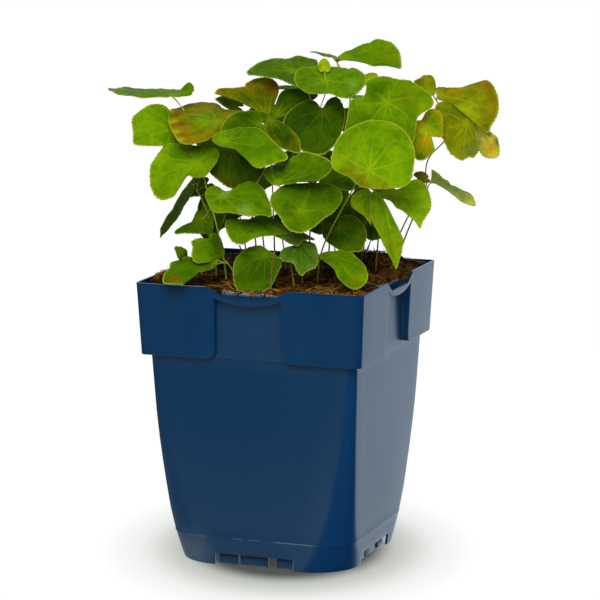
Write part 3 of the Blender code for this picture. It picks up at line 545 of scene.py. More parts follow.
# Outlines of leaflets that face the camera, where they show in the photograph: pixels from the left and from
# the top, in turn.
SEEN_OUTLINES = {
    "01a": (
        108, 88, 116, 88, 123, 86, 131, 82, 136, 86, 142, 88, 155, 88, 168, 87, 178, 89, 181, 86, 186, 82,
        191, 84, 194, 90, 192, 95, 183, 97, 170, 97, 150, 97, 130, 96, 117, 94,
    ),
    "01b": (
        132, 119, 138, 112, 147, 106, 155, 104, 163, 105, 168, 109, 174, 120, 180, 134, 184, 146, 163, 146,
        136, 145, 133, 132,
    ),
    "01c": (
        168, 108, 178, 106, 190, 104, 205, 103, 217, 104, 225, 109, 241, 112, 235, 120, 228, 125, 213, 136,
        199, 142, 188, 145, 180, 143, 173, 133, 168, 120,
    ),
    "01d": (
        150, 168, 152, 162, 160, 152, 165, 146, 176, 144, 192, 146, 205, 146, 214, 147, 219, 153, 217, 161,
        212, 168, 204, 176, 193, 177, 188, 176, 182, 182, 178, 190, 173, 197, 165, 200, 158, 199, 153, 193,
        150, 184,
    ),
    "02c": (
        208, 206, 203, 204, 201, 211, 196, 213, 191, 222, 183, 227, 175, 231, 176, 234, 188, 233, 196, 233,
        206, 233, 210, 237, 213, 228, 213, 214,
    ),
    "03a": (
        193, 240, 200, 238, 208, 239, 213, 233, 219, 237, 224, 250, 223, 257, 214, 261, 203, 263, 196, 262,
        192, 255, 193, 247,
    ),
    "03b": (
        163, 284, 164, 274, 169, 269, 171, 262, 180, 260, 188, 257, 195, 261, 204, 263, 213, 261, 219, 260,
        214, 267, 203, 271, 193, 274, 187, 279, 183, 285, 172, 285,
    ),
    "04a": (
        206, 191, 210, 187, 217, 186, 225, 190, 232, 189, 240, 184, 253, 182, 262, 188, 268, 197, 272, 213,
        270, 217, 262, 215, 250, 216, 240, 215, 226, 213, 213, 212, 208, 205, 205, 198,
    ),
    "04b": (
        225, 222, 232, 219, 245, 220, 254, 217, 260, 217, 270, 222, 284, 229, 290, 233, 275, 235, 262, 236,
        252, 239, 243, 244, 234, 242, 228, 235,
    ),
    "04c": (
        258, 216, 268, 219, 280, 225, 292, 230, 303, 234, 315, 240, 303, 241, 298, 246, 285, 249, 272, 251,
        262, 248, 256, 240, 262, 232, 258, 224,
    ),
    "05a": (
        217, 133, 230, 129, 243, 127, 257, 128, 266, 134, 275, 143, 283, 151, 288, 158, 283, 162, 270, 165,
        262, 168, 255, 167, 249, 162, 244, 154, 236, 149, 226, 147, 217, 145, 212, 139,
    ),
    "06a": (
        233, 275, 234, 263, 238, 255, 245, 249, 254, 246, 262, 246, 268, 250, 274, 254, 280, 259, 282, 264,
        279, 271, 275, 279, 271, 287, 265, 292, 255, 293, 243, 292, 237, 290, 234, 283,
    ),
    "06b": (
        280, 256, 281, 250, 286, 247, 294, 246, 300, 240, 308, 241, 315, 244, 318, 252, 318, 262, 315, 268,
        308, 271, 302, 276, 297, 272, 294, 265, 288, 262, 282, 261,
    ),
    "07a": (
        273, 193, 285, 185, 300, 183, 320, 183, 335, 186, 341, 192, 342, 200, 338, 207, 333, 213, 325, 218,
        318, 224, 310, 229, 300, 233, 290, 231, 284, 225, 280, 217, 275, 211, 271, 206, 270, 199,
    ),
    "07b": (
        286, 165, 290, 158, 296, 155, 304, 152, 315, 154, 326, 158, 331, 162, 333, 167, 328, 173, 322, 178,
        315, 181, 305, 182, 295, 183, 285, 184, 275, 185, 268, 181, 264, 175, 264, 170, 268, 168, 274, 171,
        280, 172,
    ),
    "08a": (
        319, 256, 325, 252, 333, 251, 343, 250, 352, 253, 360, 259, 366, 268, 368, 278, 364, 285, 356, 289,
        348, 287, 342, 283, 337, 277, 334, 269, 327, 263,
    ),
    "09a": (
        374, 191, 380, 196, 386, 204, 390, 212, 394, 222, 398, 230, 403, 239, 402, 250, 399, 260, 396, 269,
        391, 259, 386, 250, 381, 238, 375, 228, 371, 219, 370, 205, 370, 196,
    ),
    "09b": (
        396, 190, 404, 186, 411, 181, 418, 180, 424, 184, 429, 191, 431, 199, 431, 208, 427, 216, 423, 222,
        420, 229, 415, 222, 410, 217, 403, 211, 396, 207, 391, 201, 384, 199, 379, 195, 382, 190, 390, 190,
    ),
    "09c": (
        352, 196, 360, 190, 369, 190, 370, 198, 368, 208, 371, 218, 376, 228, 370, 224, 364, 216, 356, 210,
        351, 205,
    ),
    "10a": (
        336, 142, 345, 131, 357, 124, 370, 120, 384, 120, 396, 124, 405, 131, 412, 142, 415, 154, 414, 166,
        411, 180, 404, 186, 392, 188, 378, 189, 364, 188, 356, 184, 349, 177, 340, 173, 333, 169, 331, 160,
        333, 150,
    ),
    "10b": (
        349, 105, 352, 99, 362, 97, 366, 90, 366, 82, 374, 77, 386, 76, 398, 79, 409, 80, 418, 85, 427, 91,
        433, 99, 433, 106, 426, 111, 418, 117, 416, 128, 414, 140, 408, 150, 390, 155, 370, 150, 352, 140,
        345, 130, 347, 118,
    ),
    "11a": (
        413, 150, 411, 140, 409, 130, 413, 121, 421, 120, 426, 112, 432, 109, 440, 112, 443, 120, 443, 130,
        442, 137, 431, 137, 433, 145, 435, 150, 429, 156, 424, 160, 416, 159,
    ),
    "11b": (
        436, 105, 445, 101, 455, 104, 462, 109, 467, 115, 472, 122, 476, 135, 480, 148, 477, 153, 474, 157,
        468, 157, 463, 160, 457, 158, 450, 153, 446, 146, 442, 137, 437, 128, 435, 115,
    ),
    "11c": (
        470, 119, 477, 123, 484, 130, 489, 137, 496, 136, 499, 142, 499, 156, 488, 158, 481, 154, 477, 145,
        472, 134, 468, 125,
    ),
    "11d": (
        436, 91, 437, 87, 449, 87, 462, 87, 472, 85, 480, 82, 488, 81, 494, 87, 498, 97, 499, 107, 497, 117,
        491, 127, 488, 133, 481, 129, 473, 120, 465, 110, 456, 103, 446, 101, 438, 99,
    ),
    "11e": (
        414, 81, 420, 78, 424, 75, 431, 75, 435, 80, 436, 88, 435, 94, 430, 95, 424, 89, 417, 85,
    ),
    "12a": (
        433, 168, 438, 171, 443, 177, 449, 181, 452, 187, 460, 188, 468, 191, 473, 196, 475, 206, 466, 203,
        455, 196, 447, 189, 442, 184, 434, 183, 430, 182, 432, 176,
    ),
    "13a": (
        247, 73, 250, 68, 257, 63, 268, 60, 280, 59, 290, 58, 297, 55, 305, 58, 313, 60, 318, 64, 314, 72,
        300, 80, 296, 86, 288, 84, 280, 79, 268, 78, 256, 76,
    ),
    "13b": (
        326, 67, 336, 67, 347, 69, 356, 70, 364, 75, 366, 83, 361, 91, 355, 95, 350, 99, 340, 96, 331, 93,
        320, 93, 310, 93, 303, 90, 297, 86, 294, 78, 297, 71, 306, 67, 316, 66,
    ),
    "13d": (
        322, 108, 328, 100, 336, 97, 342, 103, 345, 113, 344, 124, 340, 136, 333, 147, 324, 154, 312, 154,
        300, 150, 292, 142, 286, 132, 283, 122, 288, 112, 298, 104, 308, 100, 316, 102,
    ),
    "14a": (
        336, 58, 345, 51, 353, 48, 363, 44, 370, 43, 376, 40, 384, 41, 392, 43, 398, 50, 401, 58, 401, 69,
        393, 67, 383, 66, 372, 65, 362, 62, 350, 60, 342, 60, 337, 61,
    ),
    "15a": (
        215, 94, 219, 89, 232, 88, 246, 87, 256, 90, 264, 100, 267, 115, 262, 117, 255, 107, 238, 99,
        226, 95,
    ),
    "15b": (
        245, 86, 250, 81, 258, 78, 268, 78, 276, 82, 279, 90, 276, 100, 270, 113, 264, 113, 256, 100,
    ),
    "15d": (
        270, 117, 275, 105, 281, 92, 292, 88, 306, 89, 318, 94, 312, 101, 300, 105, 290, 112, 280, 118,
    ),
    "15e": (
        268, 118, 275, 119, 284, 123, 294, 132, 300, 142, 300, 153, 290, 152, 280, 148, 270, 138, 264, 128,
    ),
}


# Below this share of full brightness a screen's colours are linear.
DARK_SHARE = 0.04045


def tint(red, green, blue):
    """A screen colour of 0 to 255 as the linear colour that materials use."""
    shares = (red / 255, green / 255, blue / 255)
    return tuple(c / 12.92 if c < DARK_SHARE else ((c + 0.055) / 1.055) ** 2.4 for c in shares)


def mixed(first, second, share):
    return tuple(a + (b - a) * share for a, b in zip(first, second))


def smooth_step(low, high, value):
    share = min(1.0, max(0.0, (value - low) / (high - low)))
    return share * share * (3 - 2 * share)


# Materials


class Wiring:
    """Adds nodes to a material or a node group and links them."""

    def __init__(self, tree):
        self.tree = tree

    def put(self, value, socket):
        """Links another socket to this one, or writes a value there. A colour comes without its alpha."""
        if isinstance(value, bpy.types.NodeSocket):
            self.tree.links.new(value, socket)
        else:
            socket.default_value = (*value, 1) if socket.type == "RGBA" else value

    def fill(self, made, **values):
        """Puts values into the inputs of these names, written with _ for a space."""
        for name, value in values.items():
            self.put(value, made.inputs[name.replace("_", " ")])
        return made

    def node(self, kind, **settings):
        made = self.tree.nodes.new("ShaderNode" + kind)
        for name, value in settings.items():
            setattr(made, name, value)
        return made

    def math(self, operation, *values, kind="Math"):
        made = self.node(kind, operation=operation)
        for value, socket in zip(values, made.inputs):
            self.put(value, socket)
        return made.outputs[0]

    def times(self, first, second):
        return self.math("MULTIPLY", first, second)

    def scaled(self, value, factor, added):
        return self.math("MULTIPLY_ADD", value, factor, added)

    def one_less(self, value):
        return self.math("SUBTRACT", 1.0, value)

    def from_zero(self, value, middle):
        """How far a value is from the middle, either way."""
        return self.math("ABSOLUTE", self.math("SUBTRACT", value, middle))

    def mix(self, share, first, second, blend="MIX"):
        made = self.node("Mix", data_type="RGBA", blend_type=blend)
        for value, socket in ((share, 0), (first, 6), (second, 7)):
            self.put(value, made.inputs[socket])
        return made.outputs[2]

    def ramp(self, value, low, high, first=0.0, second=1.0, shape="SMOOTHSTEP"):
        made = self.node("MapRange", interpolation_type=shape)
        self.fill(made, Value=value, From_Min=low, From_Max=high, To_Min=first, To_Max=second)
        return made.outputs[0]

    def noise(self, place, scale, detail=3.0, roughness=0.55, distortion=0.0):
        made = self.node("TexNoise")
        self.fill(made, Vector=place, Scale=scale, Detail=detail, Roughness=roughness, Distortion=distortion)
        return made.outputs["Fac"]

    def cells(self, place, scale, feature="DISTANCE_TO_EDGE"):
        made = self.node("TexVoronoi", feature=feature)
        return self.fill(made, Vector=place, Scale=scale).outputs["Distance"]

    def stretched(self, place, scale):
        return self.fill(self.node("Mapping"), Vector=place, Scale=scale).outputs[0]

    def bump(self, height, distance, strength):
        return self.fill(self.node("Bump"), Height=height, Distance=distance, Strength=strength).outputs[0]

    def apart(self, vector):
        """The x, y and z of a vector."""
        return self.fill(self.node("SeparateXYZ"), Vector=vector).outputs[:]

    def vector(self, **parts):
        return self.fill(self.node("CombineXYZ"), **parts).outputs[0]

    def attribute(self, name):
        return self.node("Attribute", attribute_name=name).outputs["Color"]

    def object_place(self):
        return self.node("TexCoord").outputs["Object"]


def new_material(name, **values):
    """A material with one Principled shader, with its plain sockets set."""
    made = bpy.data.materials.new(name)
    made.use_nodes = True
    wiring = Wiring(made.node_tree)
    return made, wiring, wiring.fill(made.node_tree.nodes["Principled BSDF"], **values)


def grain_group():
    """Node group: two sizes of noise, as one mask of patches and one height of fine grain."""
    name = "fine_grain"
    if name in bpy.data.node_groups:
        return bpy.data.node_groups[name]
    group = bpy.data.node_groups.new(name, "ShaderNodeTree")
    for socket, kind in (("Place", "Vector"), ("Patch Scale", "Float"), ("Grain Scale", "Float")):
        group.interface.new_socket(name=socket, in_out="INPUT", socket_type="NodeSocket" + kind)
    for socket in ("Patches", "Grain"):
        group.interface.new_socket(name=socket, in_out="OUTPUT", socket_type="NodeSocketFloat")
    wiring = Wiring(group)
    place, patch_scale, grain_scale = wiring.tree.nodes.new("NodeGroupInput").outputs[:3]
    patches = wiring.ramp(wiring.noise(place, patch_scale, 4.0, 0.6), 0.32, 0.68)
    fine = wiring.noise(place, grain_scale, 5.0, 0.7)
    wiring.fill(wiring.tree.nodes.new("NodeGroupOutput"), Patches=patches, Grain=fine)
    return group


def grain(wiring, place, patch_scale, grain_scale):
    """Places the grain group in a material, and gives its patches and its grain."""
    made = wiring.node("Group", node_tree=grain_group())
    wiring.fill(made, Place=place, Patch_Scale=patch_scale, Grain_Scale=grain_scale)
    return made.outputs["Patches"], made.outputs["Grain"]


def plastic_material(settings):
    """Satin blue plastic: faint streaks and dust, painted sheen low on the flats, painted shade on the round
    corners, a painted reflection low on the left foot and a painted highlight along the raised line.
    """
    made, wiring, shader = new_material("blue_plastic", Roughness=0.3, IOR=1.48)
    place = wiring.object_place()
    _, fine = grain(wiring, place, 22.0, 1400.0)
    streaks = wiring.noise(wiring.stretched(place, (1.0, 1.0, 0.03)), 110.0, 1.0, 0.5)
    haze = wiring.ramp(wiring.noise(wiring.stretched(place, (1.0, 1.0, 0.25)), 30.0, 2.0, 0.5), 0.35, 0.75)
    east, north, height = wiring.apart(place)
    across, away = wiring.from_zero(east, POT_AXIS.x), wiring.from_zero(north, POT_AXIS.y)
    below = wiring.ramp(height, COLLAR_FOOT - 0.0005, COLLAR_FOOT + 0.0005, 1.0, 0.0)
    outermost = wiring.math("MAXIMUM", across, away)
    recessed = wiring.ramp(outermost, PANEL_FACE + 0.0006, PANEL_FACE + 0.002, 1.0, 0.0)
    recessed = wiring.times(recessed, wiring.one_less(below))
    # Painted sheen lies on the flats of the body and ends where the round corners begin, which get painted
    # shade instead.
    flat_half = BODY_SECTIONS[0][1] - BODY_SECTIONS[0][2]
    for low, high in zip(BODY_SECTIONS, BODY_SECTIONS[1:]):
        gained = (high[1] - high[2]) - (low[1] - low[2])
        rise = wiring.ramp(height, low[0], high[0], 0.0, gained, "LINEAR")
        flat_half = wiring.math("ADD", rise, flat_half)
    past = wiring.math("SUBTRACT", wiring.math("MINIMUM", across, away), flat_half)
    on_flat = wiring.times(wiring.ramp(past, -0.0015, 0.0025, 1.0, 0.0), below)
    colour = wiring.mix(wiring.times(haze, 0.3), settings.colour, settings.dusty_colour)
    colour = wiring.mix(wiring.times(wiring.ramp(streaks, 0.3, 0.75), 0.08), colour, settings.dusty_colour)
    # Painted shade: the round corners turn a darker, deeper blue, more so on the right.
    round_corner = wiring.times(wiring.ramp(past, -0.0015, 0.0025), below)
    corner_shade_right = wiring.ramp(east, POT_AXIS.x - 0.02, POT_AXIS.x + 0.02, 0.15, 0.7)
    colour = wiring.mix(wiring.times(round_corner, corner_shade_right), colour, tint(0, 60, 110))
    # Painted sheen: the flats are lighter towards the foot.
    low_sheen = wiring.times(wiring.ramp(height, 0.0, 0.09, 0.85, 0.15), on_flat)
    colour = wiring.mix(low_sheen, colour, tint(30, 66, 98))
    # Painted highlight: a lighter band on the flats beside the round corners, strongest low down and on the
    # right.
    beside = wiring.times(on_flat, wiring.ramp(past, -0.022, 0.0, 0.0, 0.45))
    beside = wiring.times(beside, wiring.ramp(height, 0.02, 0.10, 1.0, 0.3))
    beside = wiring.times(beside, wiring.ramp(east, POT_AXIS.x - 0.03, POT_AXIS.x + 0.04))
    colour = wiring.mix(beside, colour, tint(44, 76, 108))
    colour = wiring.mix(wiring.times(recessed, 0.6), colour, tint(36, 70, 102))
    # Painted reflection: the lower left of the foot is paler, as if it mirrored the white floor.
    foot_reflection = wiring.ramp(east, POT_AXIS.x - 0.024, POT_AXIS.x - 0.040)
    foot_reflection = wiring.times(foot_reflection, wiring.ramp(height, 0.004, 0.026, 0.7, 0.0))
    colour = wiring.mix(foot_reflection, colour, tint(96, 112, 130))
    # Painted highlight along the raised line, broken up by noise.
    wear_and_highlight = wiring.one_less(wiring.ramp(wiring.from_zero(height, LINE_HEIGHT), 0.0001, 0.0005))
    highlight_breaks = wiring.ramp(wiring.noise(place, 45.0, 3.0), 0.45, 0.62, 0.0, 0.6)
    colour = wiring.mix(wiring.times(wear_and_highlight, highlight_breaks), colour, tint(120, 142, 168))
    rough = wiring.scaled(haze, 0.05, wiring.scaled(streaks, 0.05, 0.23))
    wiring.fill(shader, Base_Color=colour, Roughness=rough, Normal=wiring.bump(fine, 0.000003, 0.25))
    return made


def ledge_material(settings):
    """The pot's inner ledge: bleached and crusted with lime along its top, dusty blue below."""
    made, wiring, shader = new_material("dusty_plastic", Roughness=0.6, IOR=1.48, Specular_IOR_Level=0.2)
    place = wiring.object_place()
    patches, fine = grain(wiring, place, 160.0, 1600.0)
    ragged = wiring.scaled(wiring.noise(place, 240.0, 3.0), 0.0022, wiring.apart(place)[2])
    crust = wiring.ramp(ragged, POT_HEIGHT - 0.0046, POT_HEIGHT - 0.0024)
    wear_and_highlight = wiring.mix(wiring.times(patches, 0.5), tint(142, 150, 152), tint(96, 112, 124))
    colour = wiring.mix(crust, settings.dusty_colour, wear_and_highlight)
    colour = wiring.mix(wiring.times(wiring.ramp(fine, 0.5, 0.7), 0.5), colour, tint(92, 80, 62))
    rough = wiring.scaled(patches, 0.2, 0.5)
    wiring.fill(shader, Base_Color=colour, Roughness=rough, Normal=wiring.bump(fine, 0.00006, 0.6))
    return made


def leaf_material(settings):
    """A leaf: its own colours, pale veins in a net, mottling, painted shade between the veins, a thin yellow
    margin and a dull underside.
    """
    made, wiring, shader = new_material("leaf_green", Roughness=0.5, IOR=1.42, Specular_IOR_Level=0.02)
    own = wiring.attribute("leaf_colour")
    parts = wiring.fill(wiring.node("SeparateColor"), Color=wiring.attribute("leaf_form"))
    share, under, seed = parts.outputs[:3]
    plane = wiring.node("UVMap", uv_map="blade").outputs[0]
    spoke, reach, _ = wiring.apart(wiring.node("UVMap", uv_map="spokes").outputs[0])
    offset = wiring.vector(Z=wiring.times(seed, 50.0))
    place = wiring.math("ADD", plane, offset, kind="VectorMath")
    wander = wiring.scaled(wiring.noise(place, 1.8, 3.0), 0.24, -0.12)
    # Main veins: the distance to the nearest spoke, in centimetres.
    beside = wiring.math("PINGPONG", wiring.math("ADD", spoke, wander), 0.5)
    lateral = wiring.times(wiring.times(beside, reach), VEIN_STEP)
    width = wiring.ramp(share, 0.0, 1.0, 0.11, 0.045)
    main = wiring.one_less(wiring.ramp(wiring.math("DIVIDE", lateral, width), 0.0, 1.0))
    main = wiring.times(main, wiring.ramp(share, 0.45, 1.0, 1.0, 0.35))
    # A net of finer veins between them, bent by the wander.
    drift = wiring.vector(X=wiring.times(wander, 1.4), Y=wiring.times(wander, -1.4))
    bent = wiring.math("ADD", place, drift, kind="VectorMath")
    cell = wiring.cells(bent, 1.9)
    net = wiring.one_less(wiring.ramp(cell, 0.0, 0.15))
    fine = wiring.one_less(wiring.ramp(wiring.cells(bent, 6.0), 0.0, 0.2))
    patches, grain_height = grain(wiring, place, 1.1, 26.0)
    # Colour
    darker = wiring.mix(1.0, own, (0.60, 0.72, 0.55), "MULTIPLY")
    lighter = wiring.mix(1.0, own, (1.22, 1.14, 1.00), "MULTIPLY")
    colour = wiring.mix(patches, darker, lighter)
    # Painted shade of the puckers: darker towards the middle of each cell of the vein net.
    colour = wiring.mix(wiring.ramp(cell, 0.05, 0.5, 0.0, 0.35), colour, darker)
    colour = wiring.mix(wiring.times(wiring.ramp(grain_height, 0.45, 0.7), 0.18), colour, darker)
    paler = wiring.mix(1.0, own, (1.5, 1.45, 2.5), "MULTIPLY")
    lines = wiring.math("MAXIMUM", wiring.times(main, 0.6), wiring.times(net, 0.22))
    lines = wiring.math("MAXIMUM", lines, wiring.times(fine, 0.10))
    colour = wiring.mix(lines, colour, wiring.mix(0.12, paler, settings.vein_colour))
    speck = wiring.one_less(wiring.ramp(wiring.cells(place, 1.5, "F1"), 0.02, 0.06))
    colour = wiring.mix(wiring.times(speck, 0.5), colour, tint(190, 205, 140))
    rim = wiring.ramp(share, 0.960, 0.992)
    colour = wiring.mix(wiring.times(rim, 0.7), colour, settings.margin_colour)
    below = wiring.mix(0.55, colour, settings.underside_colour)
    rough = wiring.scaled(grain_height, 0.2, 0.36)
    height = wiring.scaled(grain_height, 0.25, wiring.times(lines, -1.0))
    wiring.fill(
        shader,
        Base_Color=wiring.mix(under, colour, below),
        Roughness=wiring.scaled(under, 0.2, rough),
        Normal=wiring.bump(height, 0.00016, 0.7),
    )
    return made


def stem_material(settings):
    """Wiry stems: each stem's own green to red-brown, ridged along its length."""
    made, wiring, shader = new_material("stem", Roughness=0.5, IOR=1.42)
    patches, fine = grain(wiring, wiring.stretched(wiring.object_place(), (1, 1, 0.3)), 300.0, 2600.0)
    colour = wiring.mix(wiring.times(patches, 0.12), wiring.attribute("stem_colour"), settings.stem_blush)
    colour = wiring.mix(wiring.times(fine, 0.2), colour, tint(60, 70, 20))
    rough = wiring.scaled(fine, 0.25, 0.35)
    wiring.fill(shader, Base_Color=colour, Roughness=rough, Normal=wiring.bump(fine, 0.00008, 0.6))
    return made


def straw_material():
    """Dead stalks: bleached straw with darker fibres along it."""
    made, wiring, shader = new_material("dry_straw", Roughness=0.8)
    patches, fine = grain(wiring, wiring.stretched(wiring.object_place(), (1, 1, 0.25)), 240.0, 2200.0)
    colour = wiring.mix(patches, tint(176, 148, 64), tint(138, 100, 36))
    colour = wiring.mix(wiring.times(fine, 0.6), colour, tint(92, 60, 30))
    rough = wiring.scaled(fine, 0.2, 0.65)
    wiring.fill(shader, Base_Color=colour, Roughness=rough, Normal=wiring.bump(fine, 0.0001, 0.8))
    return made


def soil_material(settings):
    """Peat and coir: dark peat, brown fibre and orange-brown flecks, with painted shade in the hollows
    between crumbs.
    """
    made, wiring, shader = new_material("peat_and_coir", Roughness=0.95)
    place = wiring.object_place()
    patches, fine = grain(wiring, place, 120.0, 900.0)
    crumbs = wiring.cells(place, 520.0, "F1")
    strands = wiring.noise(wiring.stretched(place, (1.0, 0.25, 0.6)), 700.0, 4.0, 0.7, 1.5)
    colour = wiring.mix(wiring.ramp(patches, 0.2, 0.9), settings.dark_colour, settings.brown_colour)
    colour = wiring.mix(wiring.ramp(strands, 0.56, 0.70), colour, settings.fibre_colour)
    broad = wiring.noise(place, DAMP_SCALE, 3.0)
    colour = wiring.mix(wiring.ramp(broad, 0.47, 0.36, 0.0, 0.3), colour, settings.fibre_colour)
    colour = wiring.mix(wiring.ramp(broad, 0.48, 0.62, 0.0, 0.85), colour, settings.dark_colour)
    # Painted shade: darker in the hollows between crumbs, where the bump sinks.
    colour = wiring.mix(wiring.times(wiring.ramp(crumbs, 0.35, 0.75), 0.7), colour, settings.dark_colour)
    rough = wiring.scaled(fine, 0.15, 0.8)
    height = wiring.math("SUBTRACT", wiring.times(fine, 0.8), crumbs)
    wiring.fill(shader, Base_Color=colour, Roughness=rough, Normal=wiring.bump(height, 0.0007, 0.9))
    return made


def coir_material():
    """Loose fibres and chips of coir: orange-brown to dark, each with a colour of its own."""
    made, wiring, shader = new_material("loose_coir", Roughness=0.85)
    place = wiring.object_place()
    patches, fine = grain(wiring, place, 420.0, 2400.0)
    colour = wiring.mix(wiring.times(patches, 0.4), wiring.attribute("coir_colour"), tint(52, 30, 16))
    colour = wiring.mix(wiring.times(fine, 0.35), colour, tint(30, 18, 10))
    # Fibres are damp and dark where the medium under them is.
    damp = wiring.ramp(wiring.noise(place, DAMP_SCALE, 3.0), 0.47, 0.58, 0.0, 0.8)
    colour = wiring.mix(damp, colour, tint(34, 20, 10))
    rough = wiring.scaled(fine, 0.2, 0.7)
    wiring.fill(shader, Base_Color=colour, Roughness=rough, Normal=wiring.bump(fine, 0.0002, 0.8))
    return made


# Meshes


def linked(name, data):
    """A new object of the data, in the scene."""
    made = bpy.data.objects.new(name, data)
    bpy.context.scene.collection.objects.link(made)
    return made


def mesh_of(bm, name="working"):
    """A mesh of the bmesh, which is freed."""
    mesh = bpy.data.meshes.new(name)
    bm.to_mesh(mesh)
    bm.free()
    return mesh


def baked(obj):
    """A bmesh of the object with its modifiers applied, in place of the object."""
    mesh = bpy.data.meshes.new_from_object(obj.evaluated_get(bpy.context.evaluated_depsgraph_get()))
    made = bmesh.new()
    made.from_mesh(mesh)
    bpy.data.objects.remove(obj)
    bpy.data.meshes.remove(mesh)
    return made


def finished(bm, name, finish, sharp=None):
    """Moves the mesh to the pot's axis, and makes it a smooth piece that rides on the part."""
    bmesh.ops.translate(bm, verts=bm.verts, vec=POT_AXIS)
    mesh = mesh_of(bm, name)
    mesh.materials.append(finish)
    mesh.shade_smooth()
    if sharp:
        mesh.set_sharp_from_angle(angle=math.radians(sharp))
    made = linked(name, mesh)
    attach(made, BODY)
    return made


def applied(bm, *modifiers):
    """The bmesh after modifiers, each given as (type, settings), have been applied to it."""
    mesh = mesh_of(bm)
    obj = linked("working", mesh)
    for kind, settings in modifiers:
        modifier = obj.modifiers.new(kind.lower(), kind)
        for name, value in settings.items():
            setattr(modifier, name, value)
    made = baked(obj)
    bpy.data.meshes.remove(mesh)
    return made


def add_copy(bm, other):
    """Adds the other bmesh to the first, and frees it."""
    mesh = mesh_of(other)
    bm.from_mesh(mesh)
    bpy.data.meshes.remove(mesh)


def new_verts(made):
    """The vertices in what an operator made."""
    return [item for item in made["geom"] if isinstance(item, bmesh.types.BMVert)]


def smooth_section(height, column):
    """A column of the body's sections at a height, on a smooth line through them."""
    stations = BODY_SECTIONS
    index = next((i for i in range(len(stations) - 2) if height < stations[i + 1][0]), len(stations) - 2)

    def slope(i):
        low, high = stations[max(0, i - 1)], stations[min(len(stations) - 1, i + 1)]
        return (high[column] - low[column]) / (high[0] - low[0])

    start, stop = stations[index], stations[index + 1]
    span = stop[0] - start[0]
    t = (height - start[0]) / span
    return (
        (2 * t**3 - 3 * t**2 + 1) * start[column]
        + (t**3 - 2 * t**2 + t) * span * slope(index)
        + (3 * t**2 - 2 * t**3) * stop[column]
        + (t**3 - t**2) * span * slope(index + 1)
    )


def collar_half(height):
    gained = (RIM_HALF - COLLAR_FOOT_HALF) * (height - COLLAR_FOOT) / (POT_HEIGHT - COLLAR_FOOT)
    return COLLAR_FOOT_HALF + gained


def rim_height(across):
    """Height of the rim at a distance across from the middle of a side: it is scooped out there."""
    return POT_HEIGHT - SCOOP_DEPTH * (1 - smooth_step(SCOOP_FLAT_HALF, SCOOP_HALF, abs(across)))


def lip_foot(across):
    """Height of the lip's underside, which arches down in the middle of the panel."""
    share = min(1.0, abs(across) / PANEL_HALF)
    return POT_HEIGHT - LIP_FOOT_SIDE - (LIP_FOOT_MIDDLE - LIP_FOOT_SIDE) * (1 - share**2)


def wall_columns():
    """The wall's columns across one side, from the middle of one corner to the middle of the next."""
    half = [("flat", t) for t in FLAT_STEPS] + [("arc", (i + 1) / CORNER_STEPS) for i in range(CORNER_STEPS)]
    panel = [("panel", 2 * i / PANEL_STEPS - 1, 1) for i in range(PANEL_STEPS + 1)]
    return [(kind, t, -1) for kind, t in reversed(half)] + panel + [(kind, t, 1) for kind, t in half]


def wall_rows():
    rows = [("body", height) for height in BODY_ROWS]
    return rows + [("collar", share) for share in COLLAR_ROWS] + [("lip", share) for share in LIP_ROWS]


def wall_point(column, row):
    """A point of the wall's outer face on the side that faces along -Y."""
    kind, t, side = column
    zone, value = row
    if zone == "body":
        height = value
        half, corner = smooth_section(height, 1), smooth_section(height, 2)
        face = half
        gap = FOOT_GAP[0] if (t if kind == "panel" else side) < 0 else FOOT_GAP[1]
        flank = gap + (PANEL_HALF + PANEL_FLANK_RADIUS - gap) * height / COLLAR_FOOT
        inner, outer = flank, flank + FLANK_STEP
        if height == LINE_HEIGHT:
            half, face = half + LINE_RISE, face + LINE_RISE
    else:
        side_top = POT_HEIGHT - LIP_FOOT_SIDE
        height = COLLAR_FOOT + value * (side_top - COLLAR_FOOT)
        rise = min(PANEL_FLANK_RADIUS, height - COLLAR_FOOT)
        turn = math.asin(1 - rise / PANEL_FLANK_RADIUS)
        flank = PANEL_HALF + PANEL_FLANK_RADIUS * (1 - math.cos(turn)) if zone == "collar" else PANEL_HALF
        spread = FLANK_STEP / 2 if zone == "lip" else 0
        inner, outer = flank - spread, flank + spread
        corner = COLLAR_CORNER
        if zone == "lip":
            start = lip_foot(t * inner) if kind == "panel" else side_top + FLANK_STEP / 2
            height = start + value * (POT_HEIGHT - start)
        elif kind == "panel":
            height = COLLAR_FOOT + value * (lip_foot(t * inner) - COLLAR_FOOT)
        else:
            height = COLLAR_FOOT + value * (side_top - FLANK_STEP / 2 - COLLAR_FOOT)
        half = collar_half(height)
        face = PANEL_FACE if kind == "panel" and zone == "collar" else half
    if kind == "panel":
        across, away = t * inner, face
    elif kind == "flat":
        across, away = outer + t * (half - corner - outer), half
    else:
        angle = t * math.pi / 4
        across, away = half - corner + corner * math.sin(angle), half - corner + corner * math.cos(angle)
    if zone == "lip":
        start = lip_foot(across) if kind == "panel" else POT_HEIGHT - LIP_FOOT_SIDE + FLANK_STEP / 2
        height = start + value * (rim_height(across) - start)
    return Vector((across * side, -away, height))


def quarter_turn(number):
    return Matrix.Rotation(number * math.pi / 2, 3, "Z")


def four_sides(bm):
    """Repeats what stands on the -Y side on the other three."""
    first = list(bm.verts) + list(bm.edges) + list(bm.faces)
    for quarter in range(1, 4):
        verts = new_verts(bmesh.ops.duplicate(bm, geom=first))
        bmesh.ops.rotate(bm, verts=verts, cent=(0, 0, 0), matrix=quarter_turn(quarter))


